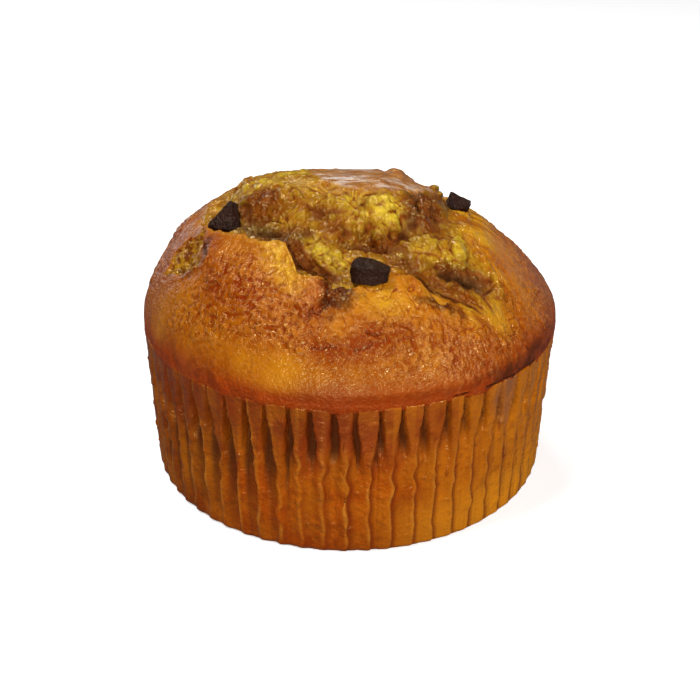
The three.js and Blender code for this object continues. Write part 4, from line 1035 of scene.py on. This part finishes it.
# Lumps that tore apart, fibres, bubbles, and what melted over the edge in strings.
across, upward = heart[..., 0], heart @ UP_THE_SLOPE
frayed = layers(heart, LUMP_FRAY)
lump_rise = np.zeros(x.shape)
for lx, ly, lz, wide, tall, tilt, high in LUMPS:
    above = upward - np.array([lx, ly, lz]) @ UP_THE_SLOPE
    apart = from_oval(across - lx, above, wide, tall, tilt) + frayed
    lump_rise = np.maximum(lump_rise, high * np.maximum(0, 1 - np.maximum(apart, 0) ** 4) ** 0.6)
melted = round_table(MELTED, np.degrees(turn) % 360) * smooth(6, 0.5, inside)
strings = np.clip(2 * melt_strings(x, y), -1, 1) * melted
fibres = spots(heart, STRINGY) * 0.7 * (np.abs(bumps(x / 0.75, y / 2.4, z / 2.4)) - 0.3)
bubbles = np.zeros(x.shape)
for bx, by, size in BUBBLES:
    apart = np.hypot(x - bx, y - by) / size
    bubbles = np.maximum(bubbles, size * 0.7 * np.sqrt(np.maximum(0, 1 - apart**2)))
relief = crumbly * (lumps - pits) * (1 - smooth(0, 0.3, bubbles))
relief = relief + free * (bubbles + fibres + 0.85 * lump_rise)
relief = relief + skin * (layers(heart, SKIN_SWELLS) + SKIN_PROUD)
relief = relief + melted * layers(heart, MELTED_SWELLS) + STRING_HEIGHT * strings

# The bright crumb is shattered into steps, with fissures between them.
shattered = crumbly * spots(heart, BRIGHT_CRUMB)
steps = SHATTER_STEP * np.floor(2.2 * rough(bent, SHATTER_SIZE, SHATTER_SEED))
fissures = np.abs(rough(bent, FISSURE_SIZE, FISSURE_SEED))
shards = steps + layers(bent, SHATTER_GRAIN) - FISSURE_DEPTH * smooth(0.1, 0, fissures)
relief = relief + shattered * shards
veins = np.maximum(veins, 0.7 * shattered * smooth(0.14, 0.02, fissures)) * (1 - skin)
heart = heart + grid_normals(heart) * relief[..., None]

# How far each place lies under what is round it, near by and further off. It is painted as shade
# where it lies under and as light where it stands up.
form = relief + free * rise
cavity = evened(form, 12) - form
wide_cavity = evened(form, 90) - form

base = at_height(heart[:1, :, :2] * FLOOR_SHARE, heart[:1, :, 2] - FLOOR_DEPTH)
rows = np.concatenate([base, heart])


def over_heart(values):
    """A mask of the top, repeated for the hidden row underneath."""
    return np.concatenate([values[:1], values])


crumb = closed_surface("muffin_crumb", rows, (*TORN_CENTRE, CRUMB_FOOT), heart[-1].mean(axis=0), {
    "skin": over_heart(skin),
    "cavity": over_heart(np.clip(cavity * 2.6, -1, 1)),
    "pocket": over_heart(np.clip(wide_cavity * 1.1 + 0.6 * smooth(0.2, 1, cut), -1, 1)),
    "dark_crumb": over_heart(dark),
    "grey_crumb": over_heart(spots(heart, GREY_AND_SHADED_CRUMB, WIDE_SPREAD)),
    "bright_crumb": over_heart(spots(heart, BRIGHT_CRUMB)),
    "near_crust": over_heart(np.maximum(melted * (1 - 0.75 * dark), smooth(0.5, 0, inside))),
    "strings": over_heart(strings),
    "vein": over_heart(veins),
    "bloom": over_heart(spots(heart, SKIN_SHEEN) * skin),
})

CRUMB_YELLOW = srgb(246, 208, 58)
CRUMB_MID = srgb(192, 122, 16)
CRUMB_BROWN = srgb(142, 66, 6)
CRUMB_VEIN = srgb(150, 72, 8)
DARK_BROWN = srgb(116, 54, 10)
CRUMB_GREY_SHADE = srgb(96, 64, 34)
POCKET_SHADE = srgb(98, 42, 8)
CROWN_BROWN = srgb(176, 118, 70)
CROWN_SHEEN = srgb(224, 200, 184)

material, nodes, shader, place = new_material("buttered_crumb", 0.5, BUTTER_SHINE)
large = mottling(nodes, place, 210.0, 800.0)
small = mottling(nodes, place, 560.0, 2100.0)
veiny = nodes.times(large["Veins"], nodes.times(large["Blotches"], -0.5, 0.8))
# Painted shade in the deep pockets and cracks of the crumb, less over the bright crumb.
shaded = nodes.times(nodes.mask("bright_crumb"), -0.3, nodes.mask("pocket"))
fibres = nodes.ramp(nodes.noise(place, 1.0, 3.0, (260.0, 900.0, 900.0)), 0.4, 0.62)
crown = nodes.paint(CROWN_BROWN, [
    (small["Blotches"], 1, 0, CRUMB_MID),
    (fibres, -0.5, 0.4, CRUMB_BROWN),
    # A painted sheen on the crown's skin, pale along the fibres.
    (nodes.times(nodes.mask("bloom"), fibres), 1.3, 0, CROWN_SHEEN),
])
nodes.feed(shader, "Base Color", nodes.paint(CRUMB_MID, [
    # Yellow where the crumb is bright with egg, and a painted highlight at the pit's upper lip.
    ("bright_crumb", 0.95, nodes.times(large["Blotches"], 0.35), CRUMB_YELLOW),
    (small["Blotches"], 0.5, -0.25, CRUMB_YELLOW),
    # Painted light: yellow where the crumb stands up.
    ("cavity", -0.8, 0, CRUMB_YELLOW),
    # Dark brown where the crumb baked dark, and painted shade where it is sunken.
    ("dark_crumb", 0.95, nodes.times(small["Blotches"], 0.35), DARK_BROWN),
    (large["Grains"], -0.8, 0.3, CRUMB_BROWN),
    (small["Grains"], -0.8, 0.2, CRUMB_BROWN),
    # Brown veins: the grain's own, and painted shade in the crumb's vein grooves and fissures.
    ("vein", 0.6, nodes.times(veiny, 0.4), CRUMB_VEIN),
    ("near_crust", 1, 0, TORN_GOLD),
    ("strings", 0.8, 0, STRING_YELLOW),
    ("strings", -0.45, 0, CRUST_RED),
    # Painted shade: brown where the crumb lies under what is round it.
    ("cavity", 2, -0.08, CRUMB_BROWN),
    # Painted shade, dark brown, in the deep pockets.
    (shaded, 1.5, -0.25, POCKET_SHADE),
    # Grey-brown: dull crumb, and painted shade in the pit and the recesses.
    ("grey_crumb", 0.75, 0, CRUMB_GREY_SHADE),
    ("skin", 1, 0, crown),
]))
waxy = nodes.share(nodes.mask("pocket"), 1.5, nodes.times(small["Grains"], 0.16, 0.14))
nodes.feed(shader, "Roughness", nodes.share(nodes.mask("skin"), 0.2, waxy))
relief_height = nodes.times(small["Grains"], 0.35, large["Grains"])
nodes.feed(shader, "Normal", nodes.bump(relief_height, 0.00014))
crumb.data.materials.append(material)
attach(crumb, "root")
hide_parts("cake")

# ---------------------------------------------------------------------------------------------
# Paper case: a disc of greaseproof paper pressed into a pleated cup. Butter soaked through it, so
# it is amber and half clear. Its grooves are darkened with painted shade, and its pleats buckled
# as the cake rose.
# ---------------------------------------------------------------------------------------------

BASE_RADIUS = 37.3
PLEATS = 63
PAPER = 0.4
CORNER = 0.5
CREST_HEIGHT = 0.1
RIM_FLARE = 0.25
DENTS = [(0.16, 2.7, 31), (0.03, 0.8, 33)]
CREASES = [(0.06, 1.2, 32)]
PIMPLE_SIZE, PIMPLE_SEED, PIMPLE_HEIGHT = 0.9, 34, 0.18
FRONT_PLEAT = 0.14
STEPS_PER_PLEAT = 18
CASE_ROWS = 62
# Up the wall, as shares of its height: half the ridge's width as a share of a pleat, the depth
# of the groove in mm, and how far each ridge steps aside as it buckles.
RIDGE = [(0, 0.03), (0.55, 0.04), (0.64, 0.07), (0.72, 0.13), (0.8, 0.2), (0.9, 0.33), (1, 0.42)]
DEPTH = [(0, 0.2), (0.15, 0.4), (0.5, 0.6), (0.62, 0.85), (0.7, 1.4), (0.8, 1.9), (0.9, 1.8), (1, 1.4)]
BUCKLE = [
    (0, 0), (0.2, 0.02), (0.32, -0.05), (0.42, 0.06), (0.5, -0.06), (0.58, 0.08), (0.68, -0.04), (1, 0),
]
MOST_ASIDE = 0.2


def table(rows, value):
    """Straight interpolation between rows of (position, value)."""
    at, values = zip(*rows)
    return np.interp(value, at, values)


def pleated_wall(share):
    """Radius less the groove's depth. Each pleat is a flat ridge that narrows downwards to a crest,
    with a steep flank and a slack one: each flank falls as a smooth step of the distance beyond the
    ridge. The whole pleat steps aside where the paper buckled, less by the square of the distance
    from its crest."""
    turn = np.arange(PLEATS * STEPS_PER_PLEAT)[None, :] / STEPS_PER_PLEAT + 0 * share
    pleat = np.floor(turn + 0.5)
    phase = turn - pleat
    height = share * CASE_HEIGHT
    flat = 0 * pleat
    own = 0.8 + 1.3 * bumps(pleat * 3.7, flat + 1.5, flat + 0.5)
    lifted = share + 0.1 * bumps(pleat * 7.1, flat + 2.5, flat + 3.5)
    aside = own * table(BUCKLE, lifted) + 0.08 * bumps(pleat * 5.3, height / 9, flat + 4.5)
    aside += 0.08 * smooth(0.95, 0.6, share) * bumps(pleat * 3.7, height / 2.2, flat)
    aside = np.clip(aside, -MOST_ASIDE, MOST_ASIDE) * (1 - (2 * phase) ** 2)
    azimuth = (turn + aside - FRONT_PLEAT) * 2 * np.pi / PLEATS - np.pi / 2
    rightward = smooth(-0.5, 0.1, np.cos(azimuth))
    leans = rightward * smooth(0.74, 0.6, share)
    ridge = table(RIDGE, lifted) * (1 + 0.35 * bumps(pleat * 4.3, height / 5, flat + 6.5))
    slack = 0.5 - ridge
    fall_left = smooth(ridge, ridge + slack * (0.4 + 0.6 * leans), -phase)
    fall_right = smooth(ridge, ridge + slack * (1 - 0.75 * leans), phase)
    fall = np.where(phase < 0, fall_left, fall_right)
    depth = table(DEPTH, lifted) * (1 + 0.3 * bumps(pleat * 2.9, height / 12, flat + 8.5))
    depth = depth * (1.25 - 0.45 * rightward - 0.25 * smooth(0.25, 0.8, np.cos(azimuth)))
    lean = (rim_reach(azimuth) - RIM_RADIUS) * smooth(0.5, 1, share)
    uneven = 0.5 + 0.8 * bumps(pleat * 8.3, height / 3, flat + 7.5)
    from_crest = phase - ridge * (2 * rightward - 1)
    crest = uneven * smooth(0.12, 0.02, np.abs(from_crest)) * smooth(0.02, 0.12, share)
    crest = np.maximum(0, crest) * np.maximum(1 - rightward, smooth(0.8, 0.65, share))
    # A painted shadow just to the right of each crest, where the pleats lean.
    crease_shadow = leans * smooth(0.05, 0.13, phase) * smooth(0.42, 0.13, phase)
    # Where painted shade darkens the grooves, more where they are deep.
    groove = smooth(0.45, 1, fall) * smooth(0.7, 1.4, depth + 0.45 * (1 - rightward))
    groove = groove * smooth(0, 0.2, share)
    panel = pleat + (phase > 0.08)
    tone = 0.5 + 0.5 * bumps(panel * 6.1, height / 9, flat + 9.5)
    radius = BASE_RADIUS + (RIM_RADIUS - BASE_RADIUS) * share + lean - fall * depth
    radius = radius + CREST_HEIGHT * crest
    return azimuth, radius, groove, crest, crease_shadow, tone


share = np.linspace(0.02, 1, CASE_ROWS)[:, None]
azimuth, radius, groove, crease, crease_shadow, tone = pleated_wall(share)
height = share * CASE_HEIGHT + 0 * azimuth + RIM_FLARE * smooth(0.9, 1, share)
wall = np.stack([radius * np.cos(azimuth), radius * np.sin(azimuth), height], axis=-1)
dents = layers(wall, DENTS) + ridges(wall * (1, 1, 0.7), CREASES)
pimples = smooth(0.42, 0.6, rough(wall, PIMPLE_SIZE, PIMPLE_SEED))
strength = smooth(0, 0.1, share) * (0.4 + 0.6 * smooth(1, 0.85, share)) * (1 - 0.9 * groove)
wall = wall + grid_normals(wall) * ((dents + PIMPLE_HEIGHT * pimples) * strength)[..., None]


def ring_at(rows, inset, z):
    """A row moved inwards by an inset and laid at one height."""
    return at_height(rows[..., :2] - inset * unit(rows[..., :2]), z)


under = ring_at(wall[:1], CORNER, 0.0)
lining_rows = np.linspace(CASE_ROWS - 1, 0, 10).astype(int)
lining = ring_at(wall[lining_rows], PAPER, np.maximum(wall[lining_rows][..., 2], 2 * PAPER))
floor_ring = ring_at(wall[:1], CORNER + PAPER, PAPER)
rows = np.concatenate([under, wall, lining, floor_ring])


def with_lining(values):
    """A mask of the outside, carried over to the rows of the lining."""
    return np.concatenate([values[:1], values, values[lining_rows], values[:1]])


# Where a grey sheen is painted on the paper, the height counted at two fifths: x, y, height,
# radius, strength.
GREY_SHEEN = [
    (26.6, -26.9, 10.8, 1, 0.7), (27, -27.7, 12, 1, 0.7), (24.7, -28.7, 10.2, 0.9, 0.6),
    (26.5, -26.9, 8.8, 0.9, 0.5), (30.3, -21.5, 9.9, 0.9, 0.4), (-33.1, -17.5, 9.7, 1, 0.4),
    (20, 31, 9, 2, 0.5), (-24, 28, 8.6, 2, 0.5),
]
case = closed_surface("muffin_paper_case", rows, (0, 0, 0), (0, 0, PAPER), {
    "groove": with_lining(groove),
    "crease": with_lining(crease),
    "beside_crease": with_lining(crease_shadow),
    "tone": with_lining(tone),
    "pimple": with_lining(pimples * strength),
    "stained": with_lining(spots(wall * (1, 1, 0.4), GREY_SHEEN)),
})

PAPER_AMBER = srgb(196, 86, 6)
PAPER_GOLD = srgb(212, 122, 18)
PAPER_BRIGHT = srgb(244, 152, 28)
PAPER_MAUVE = srgb(156, 68, 28)
PAPER_OLIVE = srgb(130, 60, 8)
PAPER_RED = srgb(124, 40, 6)
PAPER_SHEEN = srgb(116, 78, 70)
PAPER_CREST_HIGHLIGHT = srgb(220, 138, 44)
GROOVE_SHADE = srgb(82, 28, 3)

material, nodes, shader, place = new_material("buttered_paper", 0.4, BUTTER_SHINE)
large = mottling(nodes, place, 120.0, 1300.0)
small = mottling(nodes, place, 380.0, 2600.0)
streaks = nodes.ramp(nodes.noise(place, 1.0, 3.0, (520.0, 520.0, 50.0)), 0.42, 0.7)
axes = nodes.add("ShaderNodeSeparateXYZ", {0: place}).outputs
# Brighter gold to the right and darker olive to the left: the soaking, and painted light and shade.
to_right = nodes.ramp(axes["X"], 0.002, 0.032)
to_left = nodes.ramp(axes["X"], -0.013, -0.031)
up_high = nodes.ramp(axes["Z"], 0.013, 0.025)
mauve = nodes.times(nodes.times(to_right, -1.0, 1.0), up_high)
# Painted shade at the upper left and painted light low on the right.
shaded_upper_left = nodes.times(nodes.ramp(axes["X"], 0.004, -0.014), up_high)
lit_low_right = nodes.times(nodes.ramp(axes["X"], 0.002, 0.014), nodes.ramp(axes["Z"], 0.013, 0.002))
middle = nodes.times(nodes.reckon("MAXIMUM", to_right, to_left), -1.0, 1.0)
foot = nodes.times(nodes.ramp(axes["Z"], 0.009, 0.0), middle)
nodes.feed(shader, "Base Color", nodes.paint(PAPER_AMBER, [
    # Gold to the right and olive to the left, partly painted light and shade.
    (to_right, 1, 0, PAPER_GOLD),
    (to_left, 0.75, 0, PAPER_OLIVE),
    (mauve, 0.85, 0, PAPER_MAUVE),
    (streaks, 0.35, 0, PAPER_RED),
    ("tone", 1.2, -0.6, PAPER_GOLD),
    ("tone", -1.1, 0.5, PAPER_RED),
    (large["Blotches"], 0.55, -0.1, PAPER_GOLD),
    (small["Blotches"], 0.15, 0, PAPER_RED),
    ("pimple", 0.35, 0, PAPER_RED),
    # Painted shade at the upper left, painted light low on the right.
    (shaded_upper_left, 0.4, 0, PAPER_RED),
    (lit_low_right, 0.7, 0, PAPER_BRIGHT),
    (foot, 0.5, 0, PAPER_RED),
    # A painted grey sheen on the ridges near the rim.
    ("stained", 0.8, 0, PAPER_SHEEN),
    # A painted highlight along the crests of the pleats, and a painted shadow just to their right.
    ("crease", 0.6, 0, PAPER_CREST_HIGHLIGHT),
    ("beside_crease", 0.8, 0, PAPER_RED),
    # Painted shade in the grooves.
    ("groove", 0.9, 0, GROOVE_SHADE),
]))
greasy = nodes.times(small["Grains"], 0.16, 0.18)
nodes.feed(shader, "Roughness", nodes.share(nodes.mask("groove"), 0.5, greasy))
nodes.feed(shader, "Normal", nodes.bump(nodes.times(streaks, 1.0, large["Grains"]), 0.00007))
case.data.materials.append(material)
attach(case, "root")
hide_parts("paper_case")

# ---------------------------------------------------------------------------------------------
# Chocolate chunks: a slab broken into rough pieces that lay on the batter and sank half-way in.
# Each keeps the flat faces of its breaks, with dull edges where the oven softened it.
# ---------------------------------------------------------------------------------------------

CHUNK_AROUND = 96
CHUNK_ROWS = 64
EDGE_SHARPNESS = 26
BREAKS = [(0.2, 1.5, 41), (0.07, 0.5, 42)]

CHOCOLATE = srgb(32, 13, 7)
CHOCOLATE_BLOOM = srgb(58, 32, 23)
CHOCOLATE_SHINE = srgb(255, 214, 190)

material, nodes, shader, place = new_material("dark_chocolate", 0.3, CHOCOLATE_SHINE)
large = mottling(nodes, place, 450.0, 1500.0)
small = mottling(nodes, place, 900.0, 3200.0)
bloomed = nodes.share(large["Blotches"], 0.45)
nodes.feed(shader, "Base Color", nodes.blend(bloomed, CHOCOLATE, CHOCOLATE_BLOOM))
nodes.feed(shader, "Roughness", nodes.share(small["Grains"], 0.2, 0.3))
nodes.feed(shader, "Normal", nodes.bump(nodes.times(small["Grains"], 1.0, large["Grains"]), 0.0001))


def broken_chunk(corners, sides, depths):
    """A ball whose radius in each direction is the least distance to the break planes, the corners
    dulled by taking a high power mean of the planes in place of the nearest one."""
    centre = corners.mean(axis=0)
    up = np.linspace(0.5 * np.pi, -0.5 * np.pi, CHUNK_ROWS + 2)[1:-1, None][::-1]
    round_it = np.arange(CHUNK_AROUND)[None, :] * 2 * np.pi / CHUNK_AROUND
    plan = np.stack([np.cos(up) * np.cos(round_it), np.cos(up) * np.sin(round_it)], axis=-1)
    ray = at_height(plan, np.sin(up))

    def reach(ray):
        """One over the power mean of each plane's nearness, its cosine over its depth."""
        nearness = np.maximum(0, ray @ sides.T) / depths
        return (nearness**EDGE_SHARPNESS).sum(axis=-1) ** (-1 / EDGE_SHARPNESS)

    rows = centre + ray * reach(ray)[..., None]
    rows = rows + ray * layers(rows, BREAKS)[..., None]
    poles = [centre + np.array([0, 0, s]) * reach(np.array([[0, 0, s]])) for s in (-1.0, 1.0)]
    return rows, *poles


for name in ("left", "right", "front"):
    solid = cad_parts["chocolate_chunk_" + name].data
    corners = np.array([v.co for v in solid.vertices]) / MM
    sides = np.array([p.normal for p in solid.polygons])
    starts = np.array([solid.vertices[p.vertices[0]].co for p in solid.polygons]) / MM
    corners = np.unique(corners.round(4), axis=0)
    depths = ((starts - corners.mean(axis=0)) * sides).sum(axis=-1)
    rows, low, high = broken_chunk(corners, sides, depths)
    chunk = closed_surface("broken_chocolate_" + name, rows, low, high, {})
    chunk.data.materials.append(material)
    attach(chunk, "root")
    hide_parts("chocolate_chunk_" + name)

# ---------------------------------------------------------------------------------------------
# Table and light: a pale table that shows as white and throws little light back, in a dim room.
# A soft lamp hangs overhead, one shines in from behind as a window does, one stands in front and
# one at the right, and two weak ones stand low behind, so that the back isn't lost in the dark.
# ---------------------------------------------------------------------------------------------

TABLE_HALF = 3
TABLE_BOUNCE = (0.15, 0.15, 0.15, 1)
TABLE_WHITE = (0.9, 0.9, 0.9, 1)
TABLE_GLOW = (0.6, 0.6, 0.6, 1)
NO_GLOW = (0, 0, 0, 1)
ROOM_DIM = 0.04
ROOM_WHITE = 1.0
AIM = Vector((0, 0, 0.03))

mesh = bpy.data.meshes.new("table")
signs = [(-1, -1), (1, -1), (1, 1), (-1, 1)]
mesh.from_pydata([(TABLE_HALF * a, TABLE_HALF * b, 0) for a, b in signs], [], [(0, 1, 2, 3)])
table_top = bpy.data.objects.new("table", mesh)
bpy.context.collection.objects.link(table_top)
material, nodes, shader, place = new_material("pale_table", 0.0)
seen = nodes.add("ShaderNodeLightPath").outputs["Is Camera Ray"]
nodes.feed(shader, "Base Color", nodes.blend(seen, TABLE_BOUNCE, TABLE_WHITE))
nodes.feed(shader, "Emission Color", nodes.blend(seen, NO_GLOW, TABLE_GLOW))
shader.inputs["Emission Strength"].default_value = 1
shader.inputs["Roughness"].default_value = 0.9
table_top.data.materials.append(material)

world = bpy.data.worlds.new("room")
bpy.context.scene.world = world
world.use_nodes = True
nodes = Nodes(world.node_tree)
seen = nodes.add("ShaderNodeLightPath").outputs["Is Camera Ray"]
background = world.node_tree.nodes["Background"]
background.inputs["Color"].default_value = (1, 1, 1, 1)
nodes.feed(background, "Strength", nodes.times(seen, ROOM_WHITE - ROOM_DIM, ROOM_DIM))


def soft_box(name, place, size, power):
    """A square lamp that faces the muffin's middle."""
    lamp = bpy.data.lights.new(name, "AREA")
    lamp.size = size
    lamp.energy = power
    holder = bpy.data.objects.new(name, lamp)
    bpy.context.collection.objects.link(holder)
    holder.location = place
    holder.rotation_euler = (AIM - Vector(place)).to_track_quat("-Z", "Y").to_euler()


soft_box("overhead", (-0.22, -0.12, 0.6), 0.12, 1.7)
soft_box("window", (-0.08, 0.38, 0.58), 0.16, 1.1)
soft_box("front", (-0.05, -0.7, 0.1), 0.25, 2.4)
soft_box("right", (0.42, -0.36, 0.4), 0.12, 1.7)
soft_box("behind_left", (-0.42, 0.55, 0.09), 0.3, 0.4)
soft_box("behind_right", (0.45, 0.5, 0.09), 0.3, 0.12)
bpy.context.scene.view_settings.view_transform = "Standard"
